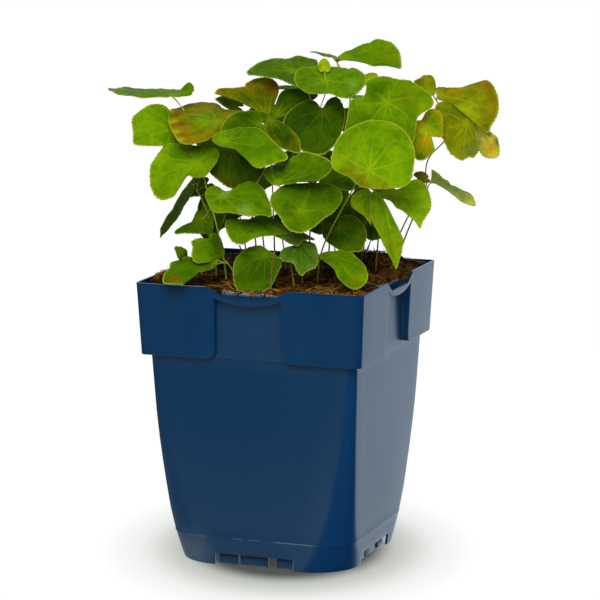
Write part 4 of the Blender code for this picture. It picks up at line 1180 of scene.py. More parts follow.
def make_wall(settings):
    columns, rows = wall_columns(), wall_rows()
    across, up = len(columns) - 1, len(rows) - 1
    bm = bmesh.new()
    bmesh.ops.create_grid(bm, x_segments=across, y_segments=up, size=1.0)
    for vert in bm.verts:
        column, row = round((vert.co.x + 1) / 2 * across), round((vert.co.y + 1) / 2 * up)
        vert.co = wall_point(columns[column], rows[row])
    middles = [(face, face.calc_center_median()) for face in bm.faces]
    gap = [face for face, at in middles if at.z < FLOOR_UNDER and -FOOT_GAP[0] < at.x < FOOT_GAP[1]]
    bmesh.ops.delete(bm, geom=gap, context="FACES")
    four_sides(bm)
    bmesh.ops.remove_doubles(bm, verts=bm.verts, dist=1e-5)
    bevel = {
        "width": settings.edge_radius,
        "segments": 2,
        "limit_method": "ANGLE",
        "angle_limit": math.radians(BEVELLED_OVER),
        "profile": 0.5,
        "use_clamp_overlap": True,
    }
    solid = {"thickness": settings.wall, "offset": -1.0, "use_even_offset": True}
    return applied(bm, ("SOLIDIFY", solid), ("BEVEL", bevel))


def rounded_square(half, corner, steps):
    """The points of a square with round corners, anticlockwise seen from above."""
    points = []
    for quarter in range(4):
        centre = Vector((half - corner, half - corner, 0))
        for step in range(steps + 1):
            angle = step / steps * math.pi / 2
            out = Vector((math.cos(angle), math.sin(angle), 0))
            points.append(quarter_turn(quarter) @ (centre + out * corner))
    return points


def ring(bm, points):
    verts = [bm.verts.new(point) for point in points]
    return [bm.edges.new((a, b)) for a, b in zip(verts, verts[1:] + verts[:1])]


def make_floor(settings):
    """The pot's floor with its drain holes, a little into the wall."""
    half, corner = smooth_section(FLOOR_UNDER, 1), smooth_section(FLOOR_UNDER, 2)
    inset = settings.wall * 0.6
    bm = bmesh.new()
    edges = ring(bm, rounded_square(half - inset, corner - inset, 10))
    for quarter in range(4):
        hole = bmesh.ops.create_circle(bm, segments=28, radius=DRAIN_RADIUS)["verts"]
        bmesh.ops.translate(bm, verts=hole, vec=quarter_turn(quarter) @ Vector((DRAIN_RING, 0, 0)))
        edges += list({edge for vert in hole for edge in vert.link_edges})
    bmesh.ops.triangle_fill(bm, use_beauty=True, edges=edges, normal=(0, 0, 1))
    bmesh.ops.translate(bm, verts=bm.verts, vec=(0, 0, FLOOR_TOP))
    verts = new_verts(bmesh.ops.extrude_face_region(bm, geom=list(bm.faces)))
    bmesh.ops.translate(bm, verts=verts, vec=(0, 0, FLOOR_UNDER - FLOOR_TOP))
    bmesh.ops.recalc_face_normals(bm, faces=bm.faces)
    return bm


def rounded_box(low, high):
    bm = bmesh.new()
    bmesh.ops.create_cube(bm, size=1.0)
    size = Vector(high) - Vector(low)
    bmesh.ops.scale(bm, verts=bm.verts, vec=size)
    bmesh.ops.translate(bm, verts=bm.verts, vec=Vector(low) + size / 2)
    bmesh.ops.bevel(
        bm, geom=list(bm.edges), offset=MOULDED_EDGE, segments=2, profile=0.5, affect="EDGES", material=-1
    )
    return bm


def make_ribs():
    bm = bmesh.new()
    for low, high in RIB_SPANS:
        add_copy(bm, rounded_box((low, -RIB_FACE, RIB_FOOT), (high, -RIB_FACE + RIB_THICK, RIB_TOP)))
    four_sides(bm)
    return bm


def make_ledges(settings):
    """The strips inside the scooped rims, each split near its middle."""
    bm = bmesh.new()
    face = -PANEL_FACE + settings.wall - LEDGE_SUNK
    for low, high, drop in LEDGE_HALVES:
        top = POT_HEIGHT - LEDGE_DROP - LEDGE_WORN - drop
        strip = rounded_box((low, face, POT_HEIGHT - LEDGE_HEIGHT), (high, face + LEDGE_THICK, top))
        long_edges = [edge for edge in strip.edges if edge.calc_length() > 0.01]
        bmesh.ops.subdivide_edges(strip, edges=long_edges, cuts=8, use_grid_fill=True)
        for vert in strip.verts:
            ripple = noise.noise(vert.co * 160 + Vector((low * 900, 0, 0)))
            vert.co.y += 0.0005 * ripple * smooth_step(POT_HEIGHT - 0.009, POT_HEIGHT - 0.003, vert.co.z)
            vert.co.z += 0.0009 * ripple * smooth_step(POT_HEIGHT - 0.006, POT_HEIGHT - 0.003, vert.co.z)
        add_copy(bm, strip)
    four_sides(bm)
    return bm


def place(right, away, up):
    """A point of the plant's own frame, in the pot's."""
    turned = Matrix.Rotation(PLANT_TURN, 3, "Z") @ Vector((right, away, up))
    return turned * MM + Vector((0, 0, POT_HEIGHT))


def soil_height(x, y):
    """Height of the medium's surface without its crumbs."""
    plant = Matrix.Rotation(-PLANT_TURN, 3, "Z") @ Vector((x, y, 0)) / MM
    height = SOIL_LEVEL
    for right, away, spread, rise in SOIL_MOUNDS:
        distance = math.hypot(plant.x - right, plant.y - away)
        height += rise * MM * math.exp(-((distance / spread) ** 2))
    edge = max(abs(x), abs(y)) / RIM_HALF
    return height - 0.002 * max(0.0, edge - 0.86) / 0.14


def crumbly(x, y, roughness):
    """Height of the medium's surface with lumps, crumbs and fibres."""
    spot = Vector((x, y, 0))
    lumps = noise.noise(spot * 110)
    crumbs = noise.noise(spot * 420 + Vector((3, 7, 1)))
    strands = noise.noise(Vector((x * 300 + y * 90, y * 900 - x * 200, 5)))
    return soil_height(x, y) + roughness * (1.0 * lumps + 0.75 * crumbs + 0.35 * strands)


def inner_limit(along):
    """How far the medium reaches towards a side, where the recessed panels come in beside its middle."""
    beside = smooth_step(PANEL_HALF + 0.001, PANEL_HALF + 0.0035, abs(along))
    return SOIL_HALF - (SOIL_HALF - (PANEL_FACE - SOIL_INSIDE)) * (1 - beside)


def inside_square(point, half, corner):
    """The point, drawn in to a rounded square if it lies outside."""
    x, y = max(-half, min(half, point.x)), max(-half, min(half, point.y))
    inner = half - corner
    past = Vector((abs(x) - inner, abs(y) - inner))
    if min(past) > 0 and past.length > corner:
        past *= corner / past.length
        x, y = math.copysign(inner + past.x, x), math.copysign(inner + past.y, y)
    return Vector((x, y, point.z))


def make_soil(settings):
    bm = bmesh.new()
    bmesh.ops.create_grid(bm, x_segments=SOIL_GRID, y_segments=SOIL_GRID, size=SOIL_HALF)
    for vert in bm.verts:
        x, y = vert.co.x, vert.co.y
        x, y = x * inner_limit(y) / SOIL_HALF, y * inner_limit(x) / SOIL_HALF
        vert.co = inside_square(Vector((x, y, 0)), SOIL_HALF, SOIL_CORNER)
        vert.co.z = crumbly(vert.co.x, vert.co.y, settings.roughness)
    edges = [edge for edge in bm.edges if edge.is_boundary]
    for depth in SOIL_DEPTHS:
        pushed = bmesh.ops.extrude_edge_only(bm, edges=edges)["geom"]
        edges = [e for e in pushed if isinstance(e, bmesh.types.BMEdge)]
        if depth > COLLAR_FOOT:
            half, corner = min(collar_half(depth), PANEL_FACE + 0.0036) - SOIL_INSIDE, SOIL_CORNER
        else:
            half, corner = (smooth_section(depth, column) - SOIL_INSIDE for column in (1, 2))
            corner = max(0.002, corner)
        for vert in {v for edge in edges for v in edge.verts}:
            vert.co = inside_square(Vector((vert.co.x, vert.co.y, depth)), half, corner)
    bmesh.ops.holes_fill(bm, edges=edges, sides=0)
    bmesh.ops.recalc_face_normals(bm, faces=bm.faces)
    return bm


def swept(lines, roundness):
    """A bmesh of round strands, each given as a line of (point, radius)."""
    curve = bpy.data.curves.new("working", "CURVE")
    curve.dimensions = "3D"
    curve.bevel_depth = 1.0
    curve.bevel_resolution = roundness
    curve.use_fill_caps = True
    for line in lines:
        spline = curve.splines.new("POLY")
        spline.points.add(len(line) - 1)
        for point, (spot, radius) in zip(spline.points, line):
            point.co = (*spot, 1)
            point.radius = radius
    bm = baked(linked("working", curve))
    bpy.data.curves.remove(curve)
    bmesh.ops.remove_doubles(bm, verts=bm.verts, dist=1e-7)
    bmesh.ops.recalc_face_normals(bm, faces=bm.faces)
    return bm


def paint(bm, layer_name, colour):
    """Writes one colour as a colour attribute on every face corner."""
    layer = bm.loops.layers.float_color.new(layer_name)
    for face in bm.faces:
        for loop in face.loops:
            loop[layer] = (*colour, 1.0)


def settle(x, y):
    """The place, drawn in so that what lies there stays inside the pot's wall."""

    def drawn_in(along, beside):
        limit = COIR_REACH_PANEL if abs(beside) < PANEL_REACH else COIR_REACH
        return max(-limit, min(limit, along))

    return drawn_in(x, y), drawn_in(y, x)


def fibre_line(draw, x, y, roughness, length, thick, curl, lift):
    """A fibre that lies on the medium, curved and a little lifted in the middle."""
    heading, turn = draw.uniform(0, math.tau), draw.uniform(-curl, curl)
    line = []
    for index in range(6):
        heading += turn + draw.uniform(-0.3, 0.3)
        x, y = settle(x + math.cos(heading) * length / 5, y + math.sin(heading) * length / 5)
        z = crumbly(x, y, roughness) + thick * 0.5 + lift * math.sin(index / 5 * math.pi)
        line.append((Vector((x, y, z)), thick * (1 - 0.12 * index)))
    return line


def tuft_lines(draw, roughness):
    """Fibres that stand up out of the medium in tufts."""
    lines = []
    for right, away, spread, count in TUFTS:
        for _ in range(count):
            spot = place(right + draw.gauss(0, spread / 2), away + draw.gauss(0, spread / 2), 0)
            x, y = settle(spot.x, spot.y)
            foot = Vector((x, y, crumbly(x, y, roughness) - TUFT_SUNK))
            lean = Vector((draw.uniform(-0.6, 0.6), draw.uniform(-0.6, 0.6), 1)) * draw.uniform(0.003, 0.0075)
            sway = Vector((draw.uniform(-1, 1), draw.uniform(-1, 1), 0)) * 0.0008
            steps = (0, 0.35, 0.7, 1.0)
            lines.append([(foot + lean * t + sway * t * t, TUFT_RADIUS * (1.1 - t)) for t in steps])
    return lines


def root_lines(roughness):
    lines = []
    for right, away, heading, turn, length in ROOTS:
        spot = place(right, away, 0)
        x, y = spot.x, spot.y
        line = []
        for index in range(15):
            share = index / 14
            angle = PLANT_TURN + math.radians(heading + turn * share * 1.6)
            x, y = settle(x + math.cos(angle) * length * MM / 14, y + math.sin(angle) * length * MM / 14)
            lift = 0.0005 + 0.0022 * math.sin(share * math.pi)
            spot = Vector((x, y, crumbly(x, y, roughness * 0.4) + lift))
            line.append((spot, ROOT_RADIUS * (1.1 - 0.6 * share)))
        lines.append(line)
    return lines


def make_fibres(settings):
    """Loose coir fibres that lie on the medium and stand out of it, and pale roots."""
    draw = random.Random(11)
    groups = {hue: [] for hue in COIR_HUES}
    for index in range(settings.fibres):
        x, y = draw.uniform(-COIR_REACH, COIR_REACH), draw.uniform(-COIR_REACH, COIR_REACH)
        if index % 3 == 0:
            # Every third one lies along the front edge or the right one, where they show.
            in_front = draw.random() < 0.6
            inward = draw.expovariate(170)
            x, y = (x, -COIR_REACH + inward) if in_front else (COIR_REACH - inward, y)
        hue = draw.choices(COIR_HUES, COIR_WEIGHTS)[0]
        length, thick = draw.uniform(0.004, 0.014), draw.uniform(0.00010, 0.00030)
        lift = draw.uniform(0.0001, 0.0018)
        groups[hue].append(fibre_line(draw, x, y, settings.roughness, length, thick, 0.5, lift))
    for line in tuft_lines(draw, settings.roughness):
        groups[draw.choices(COIR_HUES, COIR_WEIGHTS)[0]].append(line)
    groups[COIR_HUES[-1]] += root_lines(settings.roughness)
    bm = bmesh.new()
    for hue, lines in groups.items():
        part = swept(lines, 0)
        paint(part, "coir_colour", tint(*hue))
        add_copy(bm, part)
    return bm


def make_chips(settings):
    """Flakes and crumbs of coir pith on the medium's surface."""
    draw = random.Random(23)
    bm = bmesh.new()
    for index in range(settings.chips):
        x, y = draw.uniform(-CHIP_REACH, CHIP_REACH), draw.uniform(-CHIP_REACH, CHIP_REACH)
        if index % 3 == 0:
            y = -CHIP_REACH + draw.expovariate(200)
        x, y = settle(x, y)
        size = draw.uniform(0.0004, 0.0012)
        crumb = bmesh.new()
        bmesh.ops.create_icosphere(crumb, subdivisions=1, radius=1.0)
        for vert in crumb.verts:
            vert.co *= draw.uniform(0.55, 1.2)
        stretch = Vector([size * draw.uniform(*span) for span in ((1.2, 3.4), (0.4, 1.0), (0.2, 0.7))])
        bmesh.ops.scale(crumb, verts=crumb.verts, vec=stretch)
        turn = Matrix.Rotation(draw.uniform(0, math.tau), 3, "Z")
        turn = turn @ Matrix.Rotation(draw.uniform(-0.7, 0.7), 3, "Y")
        bmesh.ops.rotate(crumb, verts=crumb.verts, cent=(0, 0, 0), matrix=turn)
        rest = crumbly(x, y, settings.roughness) + stretch.z * 0.5
        bmesh.ops.translate(crumb, verts=crumb.verts, vec=(x, y, rest))
        hue = mixed(tint(*draw.choice(COIR_HUES)), tint(40, 22, 8), draw.uniform(0.0, 0.85))
        paint(crumb, "coir_colour", hue)
        add_copy(bm, crumb)
    return bm


# Plant


def smooth_way(points, steps):
    """A smooth line through the points, as Bezier spans with handles along the neighbours' direction."""
    ends = [points[0] * 2 - points[1]] + list(points) + [points[-1] * 2 - points[-2]]
    line = [points[0]]
    for before, start, stop, after in zip(ends, ends[1:], ends[2:], ends[3:]):
        reach = (stop - start).length / 3
        first = start + (stop - before).normalized() * reach
        second = stop - (after - start).normalized() * reach
        line += interpolate_bezier(start, first, second, stop, steps + 1)[1:]
    return line


def blade_axes(leaf):
    """The blade's joint, its directions along the midrib, to the left and up from its face, its length."""
    joint = place(*leaf.joint)
    along = place(*leaf.tip) - joint
    length = along.length
    along.normalize()
    lean, side = math.radians(leaf.lean), math.radians(leaf.side)
    facing = Vector((math.sin(side), -math.sin(lean) * math.cos(side), math.cos(lean) * math.cos(side)))
    facing = Matrix.Rotation(PLANT_TURN, 3, "Z") @ facing
    up = (facing - along * facing.dot(along)).normalized()
    return joint, along, up.cross(along), up, length


def own_outline(leaf, length, seed):
    """The margin of a leaflet that isn't traced, on its flat blade: a heart, a little uneven."""
    angles = [angle for angle, _ in OUTLINE] + [-angle for angle, _ in OUTLINE[-2:0:-1]]
    reaches = [reach for _, reach in OUTLINE] + [reach for _, reach in OUTLINE[-2:0:-1]]
    points = []
    for degrees, reach in zip(angles, reaches):
        angle = math.radians(degrees)
        out = reach * length * (1 + (leaf.lobes - 1) * max(0.0, -math.cos(angle)))
        out *= 1 + leaf.skew * math.sin(angle)
        out *= 1 + 0.10 * noise.noise(Vector((math.cos(angle) * 1.4, math.sin(angle) * 1.4, seed * 31)))
        x = out * math.cos(angle)
        y = out * math.sin(angle) * leaf.width * MM / (OUTLINE_WIDTH * length)
        points.append(Vector((x, y * (1 + leaf.taper * (x / length - 0.4)))))
    return points


def view_ray(across, down):
    """Where a pixel of the photograph looks from and to, about the pot's axis."""
    back = Vector(
        (
            math.sin(VIEW_YAW) * math.cos(VIEW_ELEVATION),
            -math.cos(VIEW_YAW) * math.cos(VIEW_ELEVATION),
            math.sin(VIEW_ELEVATION),
        )
    )
    right = Vector((math.cos(VIEW_YAW), math.sin(VIEW_YAW), 0))
    upward = back.cross(right)
    pixel = SENSOR / LENS / PHOTO_SIDE
    middle = PHOTO_SIDE / 2
    ray = right * (across - middle) * pixel + upward * (middle - down) * pixel - back
    return VIEW_TARGET + back * VIEW_DISTANCE, ray


def on_blade(pixel, leaf, axes):
    """The place on the flat blade of what a pixel of the photograph shows on the curved one."""
    joint, along, left, up, length = axes
    eye, ray = view_ray(*pixel)
    wide = TRACE_LIMIT * leaf.width * MM / 2 * (1 + abs(leaf.skew))
    flat = Vector((0, 0))
    for _ in range(12):
        base = joint + up * blade_rise(leaf, length, flat)
        hit = eye + ray * (base - eye).dot(up) / ray.dot(up) - joint
        x = max(-0.7 * length, min(TRACE_LIMIT * length, hit.dot(along)))
        y = max(-wide, min(wide, hit.dot(left)))
        flat = flat.lerp(Vector((x, y)), 0.6)
    return flat


def curl_rise(code, flat, leaf, axes):
    """How far the curled end of a blade stands up at a place on the flat blade."""
    if code not in CURLS:
        return 0.0
    pixel, spread, rise = CURLS[code]
    distance = (flat - on_blade(pixel, leaf, axes)).length / (spread * PIXEL_REACH)
    return rise * MM * math.exp(-(distance**2))


def heart_of(code, leaf, axes):
    """The place on the flat blade where the stalk meets it and the veins spring."""
    return on_blade(HEARTS[code], leaf, axes) if code in HEARTS else Vector((0, 0))


def seen_outline(code, leaf, axes):
    """The traced margin of a leaflet, carried from the photograph on to its curved blade."""
    seen = SEEN_OUTLINES[code]
    points = [on_blade(pixel, leaf, axes) for pixel in zip(seen[::2], seen[1::2])]
    area = sum(a.x * b.y - a.y * b.x for a, b in zip(points, points[1:] + points[:1]))
    return points if area > 0 else points[::-1]


def even_loop(points, count):
    """Points at even steps along a smooth closed line through the points given."""
    line = []
    size = len(points)
    for index in range(size):
        before, start, stop, after = (points[(index + step) % size] for step in (-1, 0, 1, 2))
        for step in range(8):
            t = step / 8
            line.append(
                (start * 2 + (stop - before) * t + (before * 2 - start * 5 + stop * 4 - after) * t * t
                 + (start * 3 - before - stop * 3 + after) * t**3) / 2
            )
    lengths = [0.0]
    for start, stop in zip(line, line[1:] + line[:1]):
        lengths.append(lengths[-1] + (stop - start).length)
    even, at = [], 0
    for index in range(count):
        wanted = lengths[-1] * index / count
        while lengths[at + 1] < wanted:
            at += 1
        share = (wanted - lengths[at]) / max(1e-9, lengths[at + 1] - lengths[at])
        even.append(line[at].lerp(line[(at + 1) % len(line)], share))
    return even


def vein_number(degrees, share, flat, seed):
    """Where a point lies among the main veins, which bend as they go out: whole numbers are on a vein."""
    swept_angle = abs(degrees) * (1 + 0.16 * share)
    swept_angle += 9 * share * noise.noise(Vector((flat.x * 90, flat.y * 90, seed * 17)))
    last = len(MAIN_VEINS) - 2
    index = next((i for i in range(last) if swept_angle < MAIN_VEINS[i + 1]), last)
    low, high = MAIN_VEINS[index], MAIN_VEINS[index + 1]
    return math.copysign(index + (swept_angle - low) / (high - low), degrees)


def blade_rise(leaf, length, flat):
    """How far the curved blade stands off its flat plane."""
    part = flat.x / length
    rise = leaf.bow * MM * (4 * part * (1 - part) if part > 0 else 1.5 * part)
    rise += leaf.cup * MM * (2 * flat.y / (leaf.width * MM)) ** 2
    share = min(1.0, flat.length / length)
    angle = leaf.turns * math.atan2(flat.y, flat.x) + math.radians(leaf.phase)
    return rise + leaf.wave * MM * share**2 * math.sin(angle)


def blade_detail(flat, degrees, share, seed, settings):
    """Puckers between the veins, and an uneven ripple."""
    number = vein_number(degrees, share, flat, seed)
    beside = abs(number - round(number)) * VEIN_STEP * flat.length / MM
    rise = settings.relief * (1 - math.exp(-((beside / 1.4) ** 2))) * (1 - 0.5 * share)
    rise += settings.ripple * share * noise.noise(Vector((flat.x * 62, flat.y * 62, seed * 9.7)))
    fine = noise.noise(Vector((flat.x * 190, flat.y * 190, seed * 4.1)))
    return rise + settings.ripple * 0.45 * share * fine


def leaf_colour(own_look, patches, share, flat, seed):
    """The blade's own colour at a point in centimetres, without veins."""
    colour = tint(*HUES[own_look.hue])
    spot = Vector((flat.x * 0.9, flat.y * 0.9, seed * 5.3))
    cloud = noise.noise(spot) * 0.5 + 0.5 * noise.noise(spot * 2.3)
    colour = tuple(c * (1 + 0.22 * cloud) for c in colour)
    heart = math.exp(-((flat.length / 0.55) ** 2))
    colour = mixed(colour, tint(*HUES["yellow_green"]), 0.3 * heart)
    ragged = share + 0.22 * noise.noise(spot * 3.1)
    margin_share = own_look.edge_share * smooth_step(0.55, 1.0, ragged)
    colour = mixed(colour, tint(*HUES[own_look.edge]), margin_share)
    for hue, middle, spread, strength in patches:
        distance = (flat - middle).length / spread
        strength *= math.exp(-(distance**2)) * (1 + 0.4 * cloud)
        colour = mixed(colour, tint(*HUES[hue]), min(1.0, strength))
    return colour


def flat_disc(count):
    """A disc of spokes with the rings of a blade, facing up."""
    bm = bmesh.new()
    spine = [bm.verts.new((share, 0, 0)) for share in RINGS]
    edges = [bm.edges.new(pair) for pair in zip(spine, spine[1:])]
    bmesh.ops.spin(
        bm, geom=spine + edges, cent=(0, 0, 0), axis=(0, 0, 1), angle=math.tau, steps=count, use_merge=True
    )
    bmesh.ops.remove_doubles(bm, verts=bm.verts, dist=1e-5)
    bmesh.ops.recalc_face_normals(bm, faces=bm.faces)
    if sum(face.normal.z for face in bm.faces) < 0:
        bmesh.ops.reverse_faces(bm, faces=bm.faces)
    return bm


def make_blade(code, leaf, own_look, settings):
    """A closed thin blade with its colours, its place on the flat blade and its place among the veins."""
    axes = blade_axes(leaf)
    joint, along, left, up, length = axes
    seed = (sum(ord(letter) * (index + 3) for index, letter in enumerate(code)) % 97) / 97
    count = next(rays for longest, rays in RAYS if length < longest)
    traced = code in SEEN_OUTLINES
    margin = seen_outline(code, leaf, axes) if traced else own_outline(leaf, length, seed)
    margin = even_loop(margin, count)
    heart = heart_of(code, leaf, axes)
    patches = [
        (hue, (on_blade((across, down), leaf, axes) - heart) * 100, spread * PIXEL_REACH * 100, strength)
        for hue, across, down, spread, strength in own_look.patches
    ]
    draw = random.Random(code)
    # Every third spoke ends in a tooth.
    teeth = [settings.tooth * draw.uniform(0.4, 1.3) * (index % 3 == 1) for index in range(count)]
    bm = flat_disc(count)
    plane, spokes = (bm.loops.layers.uv.new(name) for name in ("blade", "spokes"))
    colours, forms = (bm.loops.layers.float_color.new(name) for name in ("leaf_colour", "leaf_form"))
    facts = {}
    for vert in bm.verts:
        share = vert.co.length
        ray = round(math.atan2(vert.co.y, vert.co.x) / math.tau * count) % count
        flat = margin[ray] * share
        if share > 0.5:
            flat += flat.normalized() * (teeth[ray] - MARGIN_INSET) * smooth_step(TOOTH_FOOT, 1.0, share)
        out = flat - heart
        degrees = math.degrees(math.atan2(out.y, out.x))
        rise = blade_rise(leaf, length, flat) + blade_detail(out, degrees, share, seed, settings)
        rise += curl_rise(code, flat, leaf, axes)
        facts[vert] = (degrees, share, out * 100, leaf_colour(own_look, patches, share, out * 100, seed))
        vert.co = joint + along * flat.x + left * flat.y + up * rise
    for face in bm.faces:
        turned = [facts[v][0] for v in face.verts if facts[v][2].length > 0.001]
        wraps = max(turned) - min(turned) > 180
        for loop in face.loops:
            degrees, share, flat, colour = facts[loop.vert]
            if flat.length < 0.001:
                degrees = turned[0]
            if wraps and degrees < 0:
                degrees += 360
            loop[plane].uv = flat
            loop[spokes].uv = (vein_number(degrees, share, flat / 100, seed), flat.length)
            loop[colours] = (*colour, 1)
            loop[forms] = (share, 0, seed, 1)
    lower = new_verts(bmesh.ops.extrude_face_region(bm, geom=list(bm.faces)))
    bmesh.ops.translate(bm, verts=lower, vec=up * -settings.blade)
    bmesh.ops.recalc_face_normals(bm, faces=bm.faces)
    for face in bm.faces:
        below = 1.0 if face.normal.dot(up) < 0 else 0.0
        for loop in face.loops:
            loop[forms] = (loop[forms][0], below, seed, 1)
    return bm


def stalk_line(code, leaf, springs, settings):
    """The leaflet's stalk: from where it springs, up to the notch of its blade from beneath."""
    axes = blade_axes(leaf)
    joint, along, left, up, length = axes
    heart = heart_of(code, leaf, axes)
    joint = joint + along * heart.x + left * heart.y + up * blade_rise(leaf, length, heart)
    start = place(*springs) - Vector((0, 0, STALK_SUNK))
    stop = joint - up * settings.blade + along * 0.0008
    reach = (stop - start).length / 3
    leave = (stop - start).normalized() + Vector((0, 0, 0.5))
    arrive = along * 0.75 + up * 0.5
    first = start + leave.normalized() * reach
    second = stop - arrive.normalized() * reach
    points = interpolate_bezier(start, first, second, stop, 12)
    ends = (0, 11)
    return [(point, settings.stalk * (1.25 if index in ends else 1.0)) for index, point in enumerate(points)]


def stem_line(way, settings):
    first = place(*way[0])
    foot = Vector((first.x, first.y, soil_height(first.x, first.y) - STEM_SUNK))
    above = Vector((first.x, first.y, foot.z + STEM_UPRIGHT))
    points = [foot] + smooth_way([above] + [place(*point) for point in way[1:]], 6)
    last = len(points) - 1
    line = []
    for index, point in enumerate(points):
        thick = settings.stem * (1 - 0.35 * (index / last))
        line.append((point, thick * 1.3 if index >= last - 1 else thick))
    return line


def numbered_stems():
    """Each leafy stem as its number in two digits, its way, and its leaflets with their codes."""
    for index, (way, *leaflets) in enumerate(LEAFY_STEMS, 1):
        number = f"{index:02d}"
        yield number, way, [(number + letter, leaf) for letter, leaf in zip("abcdefgh", leaflets)]


def make_stems(number, way, leaflets, settings):
    """A stem and its stalks, with colours that run from green to straw and red-brown."""
    stem_hue, stalk_hue = OTHER_STEM_HUES.get(number, (STEM_HUE, STALK_HUE))
    stalks = [stalk_line(code, leaf, leaf.springs or way[-1], settings) for code, leaf in leaflets]
    bm = bmesh.new()
    for lines, roundness, hue in (([stem_line(way, settings)], 2, stem_hue), (stalks, 1, stalk_hue)):
        part = swept(lines, roundness)
        paint(part, "stem_colour", tint(*hue))
        add_copy(bm, part)
    return bm


def look_of(code, index):
    return LEAF_LOOKS.get(code) or OTHER_LOOKS[index % len(OTHER_LOOKS)]


def make_dry_stalk(name, way, settings):
    """A dead stalk: swollen at its nodes, and swayed a little along its way."""
    line = stem_line(way, settings)
    draw = random.Random(name)
    bent = []
    for index, (point, thick) in enumerate(line):
        node = 1.35 if index % 5 == 3 else 1.0
        sway = Vector((draw.uniform(-1, 1), draw.uniform(-1, 1), 0)) * (0.0001 if index else 0)
        bent.append((point + sway, thick * 0.85 * node))
    return swept([bent], 2)


# Settings and operators


def number_setting(name, description, default, low, high, kind=FloatProperty, **extra):
    return kind(name=name, description=description, default=default, min=low, max=high, **extra)


def size_setting(*values):
    return number_setting(*values, unit="LENGTH")


def colour_setting(name, description, *screen):
    return number_setting(name, description, tint(*screen), 0, 1, FloatVectorProperty, subtype="COLOR")


class PotSettings(bpy.types.PropertyGroup):
    wall: size_setting("Wall", "Thickness of the moulded wall", 0.0013, 0.0008, 0.002)
    edge_radius: size_setting("Edge radius", "Rounding of the mould's edges", 0.0004, 0.0001, 0.0008)
    colour: colour_setting("Plastic", "Colour of the plastic", 0, 54, 95)
    dusty_colour: colour_setting("Dust", "Colour of the plastic under dust and scuffs", 14, 64, 100)


class SoilSettings(bpy.types.PropertyGroup):
    roughness: size_setting("Roughness", "Height of the medium's lumps and crumbs", 0.0016, 0, 0.003)
    fibres: number_setting("Fibres", "Loose coir fibres on the medium", 2600, 0, 4000, IntProperty)
    chips: number_setting("Chips", "Crumbs and flakes on the medium", 1400, 0, 4000, IntProperty)
    dark_colour: colour_setting("Peat", "Colour of the dark peat", 24, 14, 6)
    brown_colour: colour_setting("Coir", "Colour of the brown coir", 100, 58, 20)
    fibre_colour: colour_setting("Fibre", "Colour of the light fibres", 186, 116, 40)


class PlantSettings(bpy.types.PropertyGroup):
    blade: size_setting("Blade", "Thickness of a leaflet's blade", 0.0004, 0.0002, 0.0007)
    stem: size_setting("Stem radius", "Radius of a stem at its foot", 0.00054, 0.0004, 0.001)
    stalk: size_setting("Stalk radius", "Radius of a leaflet's stalk", 0.00036, 0.0002, 0.0006)
    tooth: size_setting("Tooth", "Length of the spiny teeth on a margin", 0.00036, 0, 0.001)
    ripple: size_setting("Ripple", "Height of the uneven ripple of a blade", 0.0013, 0, 0.003)
    relief: size_setting("Relief", "Height of the puckers between veins", 0.0006, 0, 0.001)
    vein_colour: colour_setting("Veins", "Colour of the veins", 154, 188, 24)
    margin_colour: colour_setting("Margin", "Colour of the thin margin", 176, 186, 52)
    underside_colour: colour_setting("Underside", "Colour of a blade's lower face", 96, 126, 48)
    stem_blush: colour_setting("Stem blush", "Red-brown tint of the stems", 140, 84, 44)


class StageSettings(bpy.types.PropertyGroup):
    key: number_setting("Key light", "Power of the large light above the camera, in watts", 17.0, 0, 200)
    side: number_setting("Side light", "Power of the soft light on the right, in watts", 1.5, 0, 200)
    overhead: number_setting("Overhead light", "Power of the soft light above, in watts", 3.0, 0, 200)
    ambient: number_setting("Ambient", "Brightness of the surroundings as they light the object", 0.14, 0, 2)


class BARRENWORT_OT_pot(bpy.types.Operator):
    """Builds the blue pot with its collar, panels, scooped rims, feet, floor and ribs"""

    bl_idname = "barrenwort.pot"
    bl_label = "Pot"

    def execute(self, context):
        settings = context.scene.barrenwort_pot
        bm = make_wall(settings)
        add_copy(bm, make_floor(settings))
        add_copy(bm, make_ribs())
        pot = finished(bm, "nursery_pot", plastic_material(settings), sharp=34)
        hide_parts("pot")
        finished(make_ledges(settings), "inner_ledges", ledge_material(settings), sharp=34)
        return {"FINISHED"}


class BARRENWORT_OT_soil(bpy.types.Operator):
    """Builds the mass of peat and coir that fills the pot"""

    bl_idname = "barrenwort.soil"
    bl_label = "Growing medium"

    def execute(self, context):
        settings = context.scene.barrenwort_soil
        soil = finished(make_soil(settings), "growing_medium", soil_material(settings))
        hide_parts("soil")
        return {"FINISHED"}


class BARRENWORT_OT_coir(bpy.types.Operator):
    """Strews loose fibres and chips of coir on the growing medium"""

    bl_idname = "barrenwort.coir"
    bl_label = "Loose coir"

    def execute(self, context):
        settings = context.scene.barrenwort_soil
        finish = coir_material()
        finished(make_fibres(settings), "coir_fibres", finish)
        finished(make_chips(settings), "coir_chips", finish, sharp=50)
        return {"FINISHED"}


class BARRENWORT_OT_leaves(bpy.types.Operator):
    """Builds the leaflets of every leafy stem"""

    bl_idname = "barrenwort.leaves"
    bl_label = "Leaves"

    def execute(self, context):
        settings = context.scene.barrenwort_plant
        finish = leaf_material(settings)
        index = 0
        for number, _, leaflets in numbered_stems():
            node = f"leafy_stem_{number}"
            bm = bmesh.new()
            for code, leaf in leaflets:
                add_copy(bm, make_blade(code, leaf, look_of(code, index), settings))
                index += 1
            leaves = finished(bm, f"leaves_{number}", finish, sharp=60)
            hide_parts(node)
        return {"FINISHED"}


